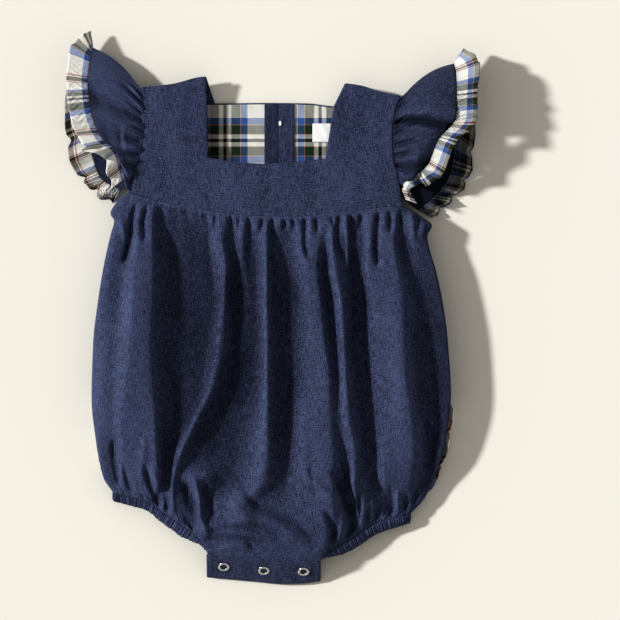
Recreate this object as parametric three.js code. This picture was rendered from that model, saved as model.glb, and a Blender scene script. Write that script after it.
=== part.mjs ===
import * as THREE from 'three';

// A baby romper laid flat on its back, in millimetres: +X is to the viewer's right, +Y runs
// towards the neck, and the surface that it lies on is z = 0. The body is a gathered bubble
// of denim under a plain yoke with wide straps, with flutter sleeves, ruffles of a woven
// check, gathered leg casings and a crotch tab with three ring snaps.
// Every cloth piece is a wall around a middle surface. The walls keep a small gap at seams.

const SEAM_GAP = 0.32;
const SIDE_SEAM_GAP = 0.25;
const BODY_WALL = 2.0;
const BACK_WALL = 1.4;
const BACK_YOKE_WALL = 1.2;
const YOKE_WALL = 1.5;
const SLEEVE_WALL = 1.2;
const RUFFLE_WALL = 1.1;
const SEAT_WALL = 1.2;
const CASING_WALL = 2.2;
const TAB_WALL = 2.0;
const TAB_BACK_WALL = 1.2;
const LINING_WALL = 1.0;
const PLACKET_WALL = 1.2;
const LABEL_WALL = 1.0;
const FLOOR_GAP = 0.02;

// Outlines seen from above.
const SIDE_LEFT = [
  { y: 93, x: -117 }, { y: 86, x: -125 }, { y: 76, x: -130.5 }, { y: 70, x: -127.5 },
  { y: 60, x: -130 }, { y: 38, x: -135 }, { y: 5, x: -140.5 }, { y: -30, x: -144.5 },
  { y: -75, x: -145.8 }, { y: -110, x: -142.3 }, { y: -140, x: -136.5 }, { y: -152, x: -129 },
];
const SIDE_RIGHT = [
  { y: 82.5, x: 107 }, { y: 74, x: 121.5 }, { y: 66, x: 130.3 }, { y: 57.5, x: 126.5 },
  { y: 50, x: 127.5 }, { y: 30, x: 133.3 }, { y: 3, x: 139 }, { y: -27, x: 143 },
  { y: -72, x: 145.6 }, { y: -105, x: 142.3 }, { y: -131, x: 135.7 }, { y: -156, x: 125 },
  { y: -170, x: 113 },
];
const YOKE_SEAM = [
  { x: -117, y: 93 }, { x: -75, y: 82.4 }, { x: -42, y: 76.7 }, { x: -5, y: 73.8 },
  { x: 15, y: 73.4 }, { x: 60, y: 77.5 }, { x: 107, y: 82.5 },
];
const ARMHOLE_LEFT = [
  { y: 93, x: -117 }, { y: 109, x: -112.8 }, { y: 125, x: -106 }, { y: 153, x: -103.2 },
  { y: 179, x: -105.6 },
];
const ARMHOLE_RIGHT = [
  { y: 82.5, x: 107 }, { y: 108, x: 102.9 }, { y: 120, x: 99.8 }, { y: 141, x: 98.6 },
  { y: 161, x: 101.3 }, { y: 172, x: 105.4 },
];
const NECK_LEFT = [{ y: 121, x: -52.1 }, { y: 187.5, x: -53.7 }];
const NECK_RIGHT = [
  { y: 120.3, x: 44.4 }, { y: 142, x: 48 }, { y: 158, x: 50.4 }, { y: 168, x: 53.7 }, { y: 182, x: 61 },
];
const NECKLINE = [
  { x: -120, y: 121 }, { x: -52, y: 121 }, { x: -30, y: 117.6 }, { x: -5, y: 116.4 },
  { x: 25, y: 118.4 }, { x: 44.4, y: 120.3 }, { x: 120, y: 120.3 },
];
const STRAP_ENDS = [
  { x: -106, y: 179 }, { x: -82, y: 181.4 }, { x: -53.7, y: 187.5 },
  { x: 61, y: 182 }, { x: 74, y: 180 }, { x: 88, y: 175.5 }, { x: 106, y: 172 },
];
// The lower edge of the body from one side seam to the other: left leg, crotch tab, right leg.
// outX and outY lead from the seam to the hem of the casing, and z is the front's height.
const LOWER_EDGE = [
  { x: -129, y: -152, outX: 0.5, outY: -7.2, z: 13 },
  { x: -116, y: -155.4, outX: 0.3, outY: -7.2, z: 14 },
  { x: -101, y: -159.5, outX: -1.2, outY: -7.0, z: 14 },
  { x: -87, y: -169.3, outX: -3.2, outY: -6.8, z: 14.5 },
  { x: -70.9, y: -180, outX: -4.4, outY: -7.0, z: 17 },
  { x: -58.5, y: -190.5, outX: -5.2, outY: -6.6, z: 20 },
  { x: -53.2, y: -199, outX: -5.0, outY: -5.6, z: 21.5 },
  { x: -51, y: -202.5, outX: -4.2, outY: -4.0, z: 22 },
  { x: -7, y: -206, outX: 0, outY: -6, z: 23.5 },
  { x: 38.5, y: -208.4, outX: 4.2, outY: -4.0, z: 21.5 },
  { x: 42, y: -204.5, outX: 4.6, outY: -6.2, z: 20.5 },
  { x: 52, y: -197, outX: 4.2, outY: -7.4, z: 18.5 },
  { x: 68.5, y: -187.5, outX: 4.0, outY: -7.6, z: 16 },
  { x: 84, y: -177.5, outX: 2.6, outY: -8.2, z: 14 },
  { x: 99, y: -173.2, outX: 1.2, outY: -8.0, z: 13 },
  { x: 113, y: -170, outX: -1.0, outY: -7.4, z: 12 },
];
const TAB_LEFT = -52.4;
const TAB_RIGHT = 39.8;
const TAB_HEM = [
  { x: -52.4, y: -221.4 }, { x: -38, y: -222.6 }, { x: -17.6, y: -224.4 }, { x: 11, y: -226.8 },
  { x: 25, y: -226.4 }, { x: 39.8, y: -224.4 },
];
const TAB_HEM_HEIGHT = 4.4;

// Heights of the middle surfaces above the floor.
const SIDE_HEIGHT = [
  { y: 93, z: 15.5 }, { y: 80, z: 15.8 }, { y: 60, z: 18.5 }, { y: 30, z: 20.5 }, { y: -60, z: 21.5 },
  { y: -120, z: 17 }, { y: -150, z: 8.5 }, { y: -170, z: 7 },
];
const CHEST_HEIGHT = [
  { y: 73, z: 20 }, { y: 90, z: 18.8 }, { y: 105, z: 17 }, { y: 120, z: 15.5 }, { y: 140, z: 13.6 },
  { y: 160, z: 13.8 }, { y: 175, z: 15.4 }, { y: 188, z: 17.4 },
];
const ARMHOLE_HEIGHT = [
  { y: 82, z: 15.6 }, { y: 93, z: 15.4 }, { y: 110, z: 14.5 }, { y: 130, z: 13.5 }, { y: 150, z: 13.2 },
  { y: 165, z: 14.2 }, { y: 180, z: 16 },
];
const CROWN = [
  { v: 0, z: 0 }, { v: 0.07, z: 6.5 }, { v: 0.22, z: 16.5 }, { v: 0.45, z: 21.5 }, { v: 0.66, z: 21 },
  { v: 0.84, z: 14 }, { v: 0.95, z: 5 }, { v: 1, z: 0 },
];
const CROWN_FALL = 0.25;
// How far the round edges of front and back reach inwards, as a share of their height.
const ROUND_EDGE_SHARE = 1.15;
const ROUND_EDGE_MOST = 20;
const ROUND_EDGE_LEAST = 3;
const BACK_ROUND_SHARE = 1.1;
const BACK_ROUND_MOST = 23;
const YOKE_SEAM_MEAN = 76;
// The back lies on the floor, and a little higher over the seat ruffles. v is the share of the
// way from the yoke seam to the lower edge, and each row is also a line of the back's grid.
const BACK_LEVEL = [
  { v: 0, z: 0.7 }, { v: 0.22, z: 0.7 }, { v: 0.44, z: 0.7 }, { v: 0.62, z: 0.7 }, { v: 0.64, z: 2.2 },
  { v: 0.73, z: 2.2 }, { v: 0.785, z: 2.2 }, { v: 0.835, z: 2.2 }, { v: 0.885, z: 2.2 },
  { v: 0.93, z: 2.2 }, { v: 0.965, z: 0.7 }, { v: 1, z: 0.7 },
];
const BACK_YOKE_LEVEL = [
  { y: 70, z: 0.6 }, { y: 156, z: 0.6 }, { y: 166, z: 1.8 }, { y: 175, z: 6.4 }, { y: 188, z: 13.6 },
];
const BACK_YOKE_EDGE = [
  { y: 82, z: 14.8 }, { y: 90, z: 12.5 }, { y: 100, z: 7 }, { y: 114, z: 3.6 }, { y: 135, z: 2.4 },
  { y: 156, z: 3 }, { y: 168, z: 7 }, { y: 180, z: 12.2 },
];
const BACK_YOKE_RISE = 15;

// The large folds of the front, from side to side: lines of crests and troughs, each with its x and
// its height at the stations down the body. A smooth line goes through them across the body.
const FOLD_STATIONS = [69.5, 54.5, 34, 5.5, -27.5, -60.5, -93, -122, -142.5, -163, -183.5];
const FOLD_LINES = [
  {
    name: 'left edge',
    x: [-144, -144, -147, -150.5, -154, -155.5, -154, -149, -142.5, -124, -124],
    z: [0, 0, 0, 0, 0, 0, 0, 0, 0, 0, 0],
  },
  {
    name: 'left edge trough',
    x: [-115, -115, -119.5, -122, -130.5, -130.5, -130.5, -128, -125.5, -116.5, -116.5],
    z: [-1.6, -4, -4, -3.5, -1, -0.5, -1, -3.5, -3.5, -2, -0.8],
  },
  {
    name: 'left bulge',
    x: [-109, -109, -110, -113, -115, -118, -121.5, -120.5, -119.5, -111.5, -111.5],
    z: [0.8, 2, 2.5, 2.5, 2.5, 2.5, 2.5, 1, 1, 0, 0],
  },
  {
    name: 'shoulder of the left bulge',
    x: [-97.5, -97.5, -97.5, -97.5, -100, -98.5, -96, -94.5, -92.5, -100, -100],
    z: [0.8, 2, 0.5, 0, 0.5, 0, 0.5, 1.5, 1.5, 1, 0.4],
  },
  {
    name: 'wide hollow, left',
    x: [-91, -91, -88.5, -90, -87.5, -87, -87, -86, -87, -92.5, -92.5],
    z: [-2.8, -7, -8, -9, -10, -11, -12, -11, -10, -6, -2.4],
  },
  {
    name: 'wide hollow, right',
    x: [-64, -64, -62.5, -51, -55, -61.5, -71.5, -81, -83, -86, -86],
    z: [-5.6, -14, -18, -22, -22, -20, -15.5, -12, -10, -5, -2],
  },
  {
    name: 'diagonal ridge',
    x: [-41, -41, -39.5, -38.5, -42.5, -47.5, -63, -75.5, -78, -80.5, -80.5],
    z: [-0.4, -1, -3, -8, -9, -8, -5, -3, -2.5, -1, -0.4],
  },
  {
    name: 'its trough',
    x: [-31, -31, -31, -31, -27, -34.5, -52.5, -66.5, -69.5, -65, -65],
    z: [-4, -10, -15, -18, -19, -18, -14, -12, -8, -7, -2.8],
  },
  {
    name: 'middle swell',
    x: [-24.5, -24.5, -23, -18, -16.5, -19.5, -34.5, -47.5, -60.5, -57.5, -57.5],
    z: [-1.6, -4, -12, -17.5, -19, -20, -16, -14, -7, -2, -0.8],
  },
  {
    name: 'middle trough',
    x: [-15.5, -15.5, -13, -12.5, -10.5, -15, -23, -32, -44.5, -49, -49],
    z: [-3.6, -9, -16, -18.5, -19, -19, -14, -13, -12, -6, -2.4],
  },
  {
    name: 'centre ridge',
    x: [-4, -4, -4, -4, -3.5, -3.5, -3.5, -5, -8, -23, -23],
    z: [0, 0, -1, -3, -3, -3, -3, -3, -3, -2, -0.8],
  },
  {
    name: 'centre trough, left',
    x: [2.5, 2.5, 2.5, 3.5, 5, 5.5, 6.5, 7.5, 7.5, -10, -10],
    z: [-3.6, -9, -12, -14, -15, -15, -14, -12, -10, -6, -2.4],
  },
  {
    name: 'centre trough, right',
    x: [13, 13, 16.5, 19.5, 19, 16.5, 18, 16.5, 16.5, 10, 10],
    z: [-3.6, -9, -12, -15, -15.5, -16, -15, -13, -11, -6, -2.4],
  },
  {
    name: 'broad ridge, left',
    x: [24, 24, 28.5, 29.5, 33, 36, 31, 28.5, 28.5, 30.5, 30.5],
    z: [-0.4, -1, -3, -5, -6, -7, -6, -5, -4.5, -4, -1.6],
  },
  {
    name: 'broad ridge, right',
    x: [36, 36, 35.5, 38.5, 42, 46, 48.5, 51.5, 52.5, 50, 50],
    z: [-0.4, -1, -2.5, -4, -4, -3.5, -3, -2.5, -2, -1, -0.4],
  },
  {
    name: 'narrow trough',
    x: [42, 42, 44.5, 48.5, 52.5, 56, 58, 60.5, 63, 67, 67],
    z: [-1.2, -3, -11, -13, -12, -9, -7, -8, -12, -9, -3.6],
  },
  {
    name: 'crisp ridge',
    x: [47.5, 47.5, 52.5, 57.5, 60, 60.5, 64, 68, 68, 78, 78],
    z: [0, 0, -2, -2, -2, -2, -2, -2, -2, -3, -1.2],
  },
  {
    name: 'deep trough, left',
    x: [69, 69, 69.5, 68, 69, 72, 77, 78.5, 83, 89.5, 89.5],
    z: [-4, -10, -15, -15, -15, -14, -13, -12, -10, -6, -2.4],
  },
  {
    name: 'deep trough, right',
    x: [73, 73, 74.5, 76.5, 75.5, 78, 81, 82, 85.5, 93.5, 93.5],
    z: [-4, -10, -15, -16, -15, -14, -13, -12, -9, -6, -2.4],
  },
  {
    name: 'right bulge, left',
    x: [80.5, 80.5, 80.5, 85.5, 89.5, 92.5, 94.5, 95, 92.5, 98.5, 98.5],
    z: [-0.8, -2, -4, -5, -5, -6, -6, -5, -4, -4, -1.6],
  },
  {
    name: 'right bulge, right',
    x: [98.5, 98.5, 101, 105, 106, 106.5, 110, 111.5, 111.5, 105, 105],
    z: [-0.4, -1, -2, -2, -1, 0, 0, 0, -1, -1, -0.4],
  },
  {
    name: 'right side, upper',
    x: [108, 108, 112.5, 118, 118, 119.5, 125.5, 128.5, 128.5, 111.5, 111.5],
    z: [-3.6, -9, -10, -10, -11, -10, -10, -9, -7, -4, -1.6],
  },
  {
    name: 'right side, lower',
    x: [117.5, 117.5, 121.5, 129.5, 133, 134.5, 136, 138.5, 137, 120.5, 120.5],
    z: [-1, -2.5, -6, -11.5, -12.5, -11.5, -9, -6, -4, -2, -0.8],
  },
  {
    name: 'right edge',
    x: [138, 138, 142.5, 146.5, 150.5, 150.5, 150.5, 150.5, 144.5, 131.5, 131.5],
    z: [-0.8, -2, -3, -4, -5, -5, -4, -3, -2, 0, 0],
  },
];
// Shorter creases of the front, each a ridge (height above 0) or a trough along a path, with its own
// width to each side of it. left is the side that lies to the left when one goes down it.
const CREASES = [
  { name: 'upper left trough', height: -3.5, left: 3.5, right: 3.5, path: [[-54, 74], [-53, 25]] },
  { name: 'upper left ridge', height: 2.5, left: 4, right: 4, path: [[-62, 74], [-61, 22]] },
  { name: 'upper right trough', height: -3.5, left: 3.5, right: 3.5, path: [[55, 73], [57, 40]] },
  { name: 'upper right ridge', height: 3, left: 3, right: 3, path: [[61, 73], [63, 32]] },
  { name: 'right gather', height: -3.5, left: 3.5, right: 3.5, path: [[86, 75], [87, 35]] },
  {
    name: 'left leg pocket', height: -5, left: 3.5, right: 3.5,
    path: [[-102, -131], [-99, -144], [-94, -159], [-95, -170]],
  },
  {
    name: 'left leg trough', height: -5, left: 4, right: 3.5,
    path: [[-70, -146], [-66, -162], [-67.5, -177], [-63.5, -185]],
  },
  {
    name: 'left leg ridge', height: 3, left: 3.5, right: 3.5,
    path: [[-62.5, -141], [-58.5, -159], [-58, -170], [-52, -185]],
  },
  {
    name: 'drag line over the tab', height: -3, left: 4, right: 4,
    path: [[-27.5, -139], [-22.5, -147], [-13, -161], [4.5, -168.5], [25, -180], [35.5, -190]],
  },
  {
    name: 'crease over the tab', height: -2.5, left: 4, right: 4,
    path: [[-57, -194], [-47, -190], [-21, -190], [-6, -192]],
  },
  {
    name: 'right drag line', height: 3, left: 4, right: 4,
    path: [[30, -137], [38, -147], [51, -155]],
  },
  {
    name: 'right leg trough', height: -5, left: 4, right: 4,
    path: [[43, -162], [49.5, -177], [50.5, -191]],
  },
  {
    name: 'right leg ridge', height: 3, left: 3.5, right: 3.5,
    path: [[58, -163.5], [58.5, -178], [54.5, -193]],
  },
  {
    name: 'right leg pocket', height: -5.5, left: 3.5, right: 3.5,
    path: [[64.5, -163.5], [66, -178], [61, -191.5]],
  },
  { name: 'right hem pocket', height: -4, left: 3.5, right: 3.5, path: [[97, -150], [97, -175]] },
];
const CREASE_ENDS = 9;
// The shares of the front's length, at its seam and at its foot, over which folds and gathers grow.
const FOLDS_FROM_SEAM = 0.05;
// The folds stay above the hollow that holds the body, and near the edges keep some depth.
const HOLLOW_TOP = 17.4;
const EDGE_ROOM = 6;
const HOLLOW_SOFTNESS = 3;
const FOLDS_FROM_FOOT = 0.05;
const GATHERS_FROM_SEAM = 0.012;

const YOKE_GATHERS = 32;
const YOKE_GATHER_HEIGHT = 1.5;
const YOKE_GATHER_LENGTH = 13;
const CASING_GATHERS = 22;
const CASING_GATHER_HEIGHT = 0.7;
const CASING_SINK = 2.6;
const SLEEVE_GATHERS = 11;
const SLEEVE_GATHER_HEIGHT = 1.3;
const RUFFLE_WAVES = 10;
const RUFFLE_WAVE_HEIGHT = 2.1;
const RUFFLE_BACK_SHARE = 0.75;

// Each sleeve goes round from the back of the underarm (s = 0) over the shoulder fold to the
// front of the underarm (s = 1). arm is y on the armhole; x, y, z is the seam where the denim
// meets the ruffle, and hemX, hemY, hemZ the ruffle's free edge.
const SLEEVE_LEFT = [
  { s: 0.0, arm: 99, x: -124, y: 96, z: 4, hemX: -130, hemY: 84, hemZ: 3.4 },
  { s: 0.14, arm: 116, x: -139, y: 105, z: 4, hemX: -151, hemY: 98, hemZ: 3.4 },
  { s: 0.28, arm: 142, x: -148, y: 134, z: 4.5, hemX: -166, hemY: 126, hemZ: 3.4 },
  { s: 0.4, arm: 168, x: -150, y: 176, z: 6, hemX: -169, hemY: 168, hemZ: 4.5 },
  { s: 0.5, arm: 179, x: -146, y: 211, z: 19, hemX: -149, hemY: 225, hemZ: 20 },
  { s: 0.58, arm: 170, x: -147.5, y: 203, z: 34, hemX: -163.5, hemY: 212, hemZ: 36 },
  { s: 0.68, arm: 154, x: -149.5, y: 184, z: 38, hemX: -167, hemY: 186, hemZ: 40 },
  { s: 0.78, arm: 138, x: -147, y: 160, z: 38, hemX: -164, hemY: 157, hemZ: 40.5 },
  { s: 0.87, arm: 121, x: -138, y: 137, z: 34, hemX: -155, hemY: 135, hemZ: 38 },
  { s: 0.94, arm: 108, x: -125, y: 126, z: 28, hemX: -134, hemY: 120, hemZ: 31 },
  { s: 1.0, arm: 97, x: -119.5, y: 105, z: 20, hemX: -127.5, hemY: 99, hemZ: 20 },
];
const SLEEVE_RIGHT = [
  { s: 0.0, arm: 90, x: 120, y: 79.5, z: 4, hemX: 131, hemY: 73, hemZ: 3.4 },
  { s: 0.14, arm: 106, x: 133, y: 90, z: 4, hemX: 147, hemY: 87, hemZ: 3.4 },
  { s: 0.28, arm: 130, x: 147, y: 112, z: 4.5, hemX: 162, hemY: 108, hemZ: 3.4 },
  { s: 0.4, arm: 158, x: 151, y: 158, z: 6, hemX: 166, hemY: 146, hemZ: 4.5 },
  { s: 0.5, arm: 172, x: 149, y: 198, z: 18, hemX: 158, hemY: 210, hemZ: 20 },
  { s: 0.58, arm: 164, x: 150.5, y: 191, z: 34, hemX: 170, hemY: 198, hemZ: 36 },
  { s: 0.68, arm: 150, x: 151, y: 174, z: 38, hemX: 168, hemY: 176, hemZ: 40 },
  { s: 0.78, arm: 136, x: 150, y: 153, z: 38, hemX: 167, hemY: 154, hemZ: 40.5 },
  { s: 0.87, arm: 122, x: 136, y: 136, z: 33, hemX: 149, hemY: 131, hemZ: 37 },
  { s: 0.94, arm: 112, x: 127, y: 115, z: 27, hemX: 139, hemY: 108, hemZ: 30 },
  { s: 1.0, arm: 102, x: 115, y: 106, z: 20, hemX: 121, hemY: 99, hemZ: 21 },
];
const SLEEVE_PUFF = 7;
// How far the sleeve starts from the armhole at the back and the front, and past the shoulder fold.
const ARMHOLE_GAP_BACK = 0.75;
const ARMHOLE_GAP_FRONT = 0.38;
const SHOULDER_REACH = 1.6;

// Rows of ruffle on the seat, each from a share top to a share hem of the way down the back.
const SEAT_RUFFLES = [
  { name: 'seat_ruffle_upper', top: 0.645, hem: 0.729 },
  { name: 'seat_ruffle_middle', top: 0.732, hem: 0.834 },
  { name: 'seat_ruffle_lower', top: 0.837, hem: 0.925 },
];

const BACK_OPENING_X = 6;
const BACK_NECKLINE = [
  { x: -60, y: 166 }, { x: -46.7, y: 166 }, { x: 0, y: 166.4 }, { x: 30, y: 166 }, { x: 51.3, y: 163.8 },
  { x: 70, y: 163.8 },
];
const BACK_NECK_LEFT = [{ y: 166, x: -46.7 }, { y: 187.5, x: -53.7 }];
const BACK_NECK_RIGHT = [{ y: 163.8, x: 51.3 }, { y: 182, x: 60.3 }];
const LINING = { left: -66, right: 64, low: 98 };
const PLACKET = { left: -5.3, right: 18.5, top: 165.4 };
const LABEL = { x: 41.4, y: 142.3, width: 14.8, length: 14.8 };
const BUTTON = { x: 7, y: 150, radius: 2.1, height: 1.2, squash: 0.55 };
const SNAPS = [{ x: -39 }, { x: -6.2 }, { x: 26.2 }];
const SNAP_FROM_TAB_HEM = 10.6;
const SNAP = { outer: 4.75, inner: 2.6, height: 1.1 };

const denim = { color: 0x353b5c, roughness: 0.9, metalness: 0 };
const check = { color: 0x8c9a94, roughness: 0.9, metalness: 0 };
const white = { color: 0xf2f1ec, roughness: 0.6, metalness: 0 };
const steel = { color: 0xbfc2c6, roughness: 0.3, metalness: 1 };

const mix = (a, b, t) => a + (b - a) * t;
const clamp = (value, low, high) => Math.min(high, Math.max(low, value));
const ease = (t) => clamp(t, 0, 1) ** 2 * (3 - 2 * clamp(t, 0, 1));

// A smooth line through the rows of a table. The slope at a row is the harmonic mean of the
// slopes on its two sides, or level where they differ in sign, so the line never overshoots.
function line(table, at, value) {
  const rows = [...table].sort((a, b) => a[at] - b[at]);
  const xs = rows.map((row) => row[at]);
  const ys = rows.map((row) => row[value]);
  const slopes = xs.slice(1).map((x, i) => (ys[i + 1] - ys[i]) / (x - xs[i]));
  const tangents = xs.map((x, i) => {
    if (i === 0) return slopes[0];
    if (i === xs.length - 1) return slopes[i - 1];
    const product = slopes[i - 1] * slopes[i];
    return product > 0 ? (2 * product) / (slopes[i - 1] + slopes[i]) : 0;
  });
  return (x) => {
    if (x <= xs[0]) return ys[0];
    if (x >= xs[xs.length - 1]) return ys[xs.length - 1];
    const i = xs.findIndex((_, k) => x < xs[k + 1]);
    const step = xs[i + 1] - xs[i];
    const t = (x - xs[i]) / step;
    const bend = t * t * (3 - 2 * t);
    const lead = t * (1 - t) ** 2 * step * tangents[i];
    const trail = t * t * (t - 1) * step * tangents[i + 1];
    return mix(ys[i], ys[i + 1], bend) + lead + trail;
  };
}

const evenly = (count, from = 0, to = 1) =>
  Array.from({ length: count + 1 }, (_, i) => mix(from, to, i / count));

// A cloth wall as one closed solid: a grid of places on the middle surface, each moved half a
// wall out and half a wall in along its facing direction, plus what is raised on the outside,
// with an edge strip wherever the kept cells end.
function clothWall({ columns, rows, place, facing, wall, raise = () => 0, keep = () => true }) {
  const points = [];
  for (const v of rows) {
    for (const u of columns) {
      const middle = place(u, v);
      const out = facing(u, v);
      points.push(middle.clone().addScaledVector(out, wall / 2 + raise(u, v)));
      points.push(middle.clone().addScaledVector(out, -wall / 2));
    }
  }
  const outside = (i, j) => 2 * (j * columns.length + i);
  const inside = (i, j) => outside(i, j) + 1;
  const across = columns.length - 1;
  const down = rows.length - 1;
  const kept = (i, j) => i >= 0 && j >= 0 && i < across && j < down && keep(i, j);
  const faces = [];
  const quad = (a, b, c, d) => faces.push([a, b, c], [a, c, d]);
  const edge = (i, j, k, l) => quad(outside(i, j), inside(i, j), inside(k, l), outside(k, l));
  for (let j = 0; j < down; j += 1) {
    for (let i = 0; i < across; i += 1) {
      if (!kept(i, j)) continue;
      quad(outside(i, j), outside(i + 1, j), outside(i + 1, j + 1), outside(i, j + 1));
      quad(inside(i, j), inside(i, j + 1), inside(i + 1, j + 1), inside(i + 1, j));
      if (!kept(i, j - 1)) edge(i, j, i + 1, j);
      if (!kept(i + 1, j)) edge(i + 1, j, i + 1, j + 1);
      if (!kept(i, j + 1)) edge(i + 1, j + 1, i, j + 1);
      if (!kept(i - 1, j)) edge(i, j + 1, i, j);
    }
  }
  return closed(points, faces);
}

// Triangles turned so that the solid that they close has its faces pointing out.
function closed(points, faces) {
  const volume = faces.reduce((sum, [a, b, c]) =>
    sum + points[a].dot(points[b].clone().cross(points[c])), 0);
  const order = volume > 0 ? [0, 1, 2] : [0, 2, 1];
  const numbers = faces.flatMap((face) => order.flatMap((k) => points[face[k]].toArray()));
  const geometry = new THREE.BufferGeometry();
  geometry.setAttribute('position', new THREE.Float32BufferAttribute(numbers, 3));
  geometry.computeVertexNormals();
  return geometry;
}

const romper = new THREE.Group();
function add(name, geometry, finish) {
  const mesh = new THREE.Mesh(geometry, new THREE.MeshStandardMaterial(finish));
  mesh.name = name;
  romper.add(mesh);
  return mesh;
}

const sideLeft = line(SIDE_LEFT, 'y', 'x');
const sideRight = line(SIDE_RIGHT, 'y', 'x');
const yokeSeam = line(YOKE_SEAM, 'x', 'y');
const armholeLeft = line(ARMHOLE_LEFT, 'y', 'x');
const armholeRight = line(ARMHOLE_RIGHT, 'y', 'x');
const sideHeight = line(SIDE_HEIGHT, 'y', 'z');
const chestHeight = line(CHEST_HEIGHT, 'y', 'z');
const armholeHeight = line(ARMHOLE_HEIGHT, 'y', 'z');
const crown = line(CROWN, 'v', 'z');
const edgeY = line(LOWER_EDGE, 'x', 'y');
const edgeZ = line(LOWER_EDGE, 'x', 'z');
const edgeOutX = line(LOWER_EDGE, 'x', 'outX');
const edgeOutY = line(LOWER_EDGE, 'x', 'outY');
const backLevel = line(BACK_LEVEL, 'v', 'z');

// The body's sides at a share v of the way from the yoke seam to the lower edge.
const LEFT_TOP = SIDE_LEFT[0].y;
const LEFT_FOOT = SIDE_LEFT[SIDE_LEFT.length - 1].y;
const RIGHT_TOP = SIDE_RIGHT[0].y;
const RIGHT_FOOT = SIDE_RIGHT[SIDE_RIGHT.length - 1].y;
const FOOT_LEFT = SIDE_LEFT[SIDE_LEFT.length - 1].x;
const FOOT_RIGHT = SIDE_RIGHT[SIDE_RIGHT.length - 1].x;
const SEAM_LEFT = YOKE_SEAM[0].x;
const SEAM_RIGHT = YOKE_SEAM[YOKE_SEAM.length - 1].x;

// A place across the body: g runs from -1 at the left side seam to 1 at the right one, and the
// outermost part of it goes round the edge on a quarter of an ellipse.
const ROUND_FROM = 0.86;
function across(g, v, roundWidth) {
  const y = { left: mix(LEFT_TOP, LEFT_FOOT, v), right: mix(RIGHT_TOP, RIGHT_FOOT, v) };
  const left = sideLeft(y.left);
  const right = sideRight(y.right);
  const half = (right - left) / 2;
  const turn = Math.max(0, (Math.abs(g) - ROUND_FROM) / (1 - ROUND_FROM)) * (Math.PI / 2);
  const flat = Math.min(Math.abs(g) / ROUND_FROM, 1) * (half - roundWidth);
  const share = (flat + roundWidth * Math.sin(turn)) / half;
  const w = Math.sign(g) * share;
  const side = g < 0 ? sideHeight(y.left) : sideHeight(y.right);
  const top = yokeSeam(mix(SEAM_LEFT, SEAM_RIGHT, (w + 1) / 2));
  const footX = mix(FOOT_LEFT, FOOT_RIGHT, (w + 1) / 2);
  return { x: (left + right) / 2 + w * half, y: mix(top, edgeY(footX), v), w, turn, side, footX, top };
}

// The distance from a path of straight stretches, its side, and the share of it passed.
function besidePath(x, y, path) {
  let best = { gap: Infinity };
  let before = 0;
  for (let i = 0; i + 1 < path.length; i += 1) {
    const [ax, ay] = path[i];
    const [bx, by] = path[i + 1];
    const length = Math.hypot(bx - ax, by - ay);
    const t = ((x - ax) * (bx - ax) + (y - ay) * (by - ay)) / length ** 2;
    const near = clamp(t, 0, 1);
    const offX = x - mix(ax, bx, near);
    const offY = y - mix(ay, by, near);
    const gap = Math.hypot(offX, offY);
    const turn = (bx - ax) * offY - (by - ay) * offX;
    if (gap < best.gap) best = { gap, left: turn > 0, passed: before + near * length };
    before += length;
  }
  return { ...best, whole: before };
}

// The height that the large folds add at a place.
const foldLines = FOLD_LINES.map((fold) => ({
  x: line(FOLD_STATIONS.map((y, i) => ({ y, x: fold.x[i] })), 'y', 'x'),
  z: line(FOLD_STATIONS.map((y, i) => ({ y, z: fold.z[i] })), 'y', 'z'),
}));
const foldsAt = (x, y) => line(foldLines.map((fold) => ({ x: fold.x(y), z: fold.z(y) })), 'x', 'z')(x);

// The height that the creases add at a place: each is a soft bell across its path, which fades
// over its last stretch at both ends.
function creasesAt(x, y) {
  return CREASES.reduce((sum, fold) => {
    const near = besidePath(x, y, fold.path);
    const width = near.left ? fold.left : fold.right;
    const bell = Math.exp(-((near.gap / width) ** 2));
    const fade = ease((near.passed + CREASE_ENDS / 2) / CREASE_ENDS)
      * ease((near.whole - near.passed + CREASE_ENDS / 2) / CREASE_ENDS);
    return sum + fold.height * bell * fade;
  }, 0);
}

function yokeGathers(x, below) {
  const phase = ((x - SEAM_LEFT) / (SEAM_RIGHT - SEAM_LEFT)) * YOKE_GATHERS;
  const uneven = 0.35 * Math.sin(phase * 1.7) + 0.25 * Math.sin(phase * 0.63 + 1);
  const length = YOKE_GATHER_LENGTH * (1 + 0.4 * Math.sin(phase * 2.3));
  return YOKE_GATHER_HEIGHT * Math.sin(2 * Math.PI * (phase + uneven)) * Math.exp(-below / length);
}

// The front of the body: the crown over the side seams, the round edges, the folds and gathers.
function frontWidths(v, g) {
  const y = g < 0 ? mix(LEFT_TOP, LEFT_FOOT, v) : mix(RIGHT_TOP, RIGHT_FOOT, v);
  const foot = edgeZ(g < 0 ? FOOT_LEFT : FOOT_RIGHT);
  const height = mix(chestHeight(YOKE_SEAM_MEAN), foot, v) + crown(v) - sideHeight(y);
  return clamp((1 - CROWN_FALL) * height * ROUND_EDGE_SHARE, ROUND_EDGE_LEAST, ROUND_EDGE_MOST);
}
function frontPlace(g, v) {
  const a = across(g, v, frontWidths(v, g));
  const full = mix(chestHeight(a.top), edgeZ(a.footX), v) + crown(v) - a.side;
  const rounded = (1 - CROWN_FALL) * full * (1 - Math.cos(a.turn));
  const base = a.side + full * (1 - CROWN_FALL * a.w ** 2) - rounded;
  return { ...a, z: base };
}
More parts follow.
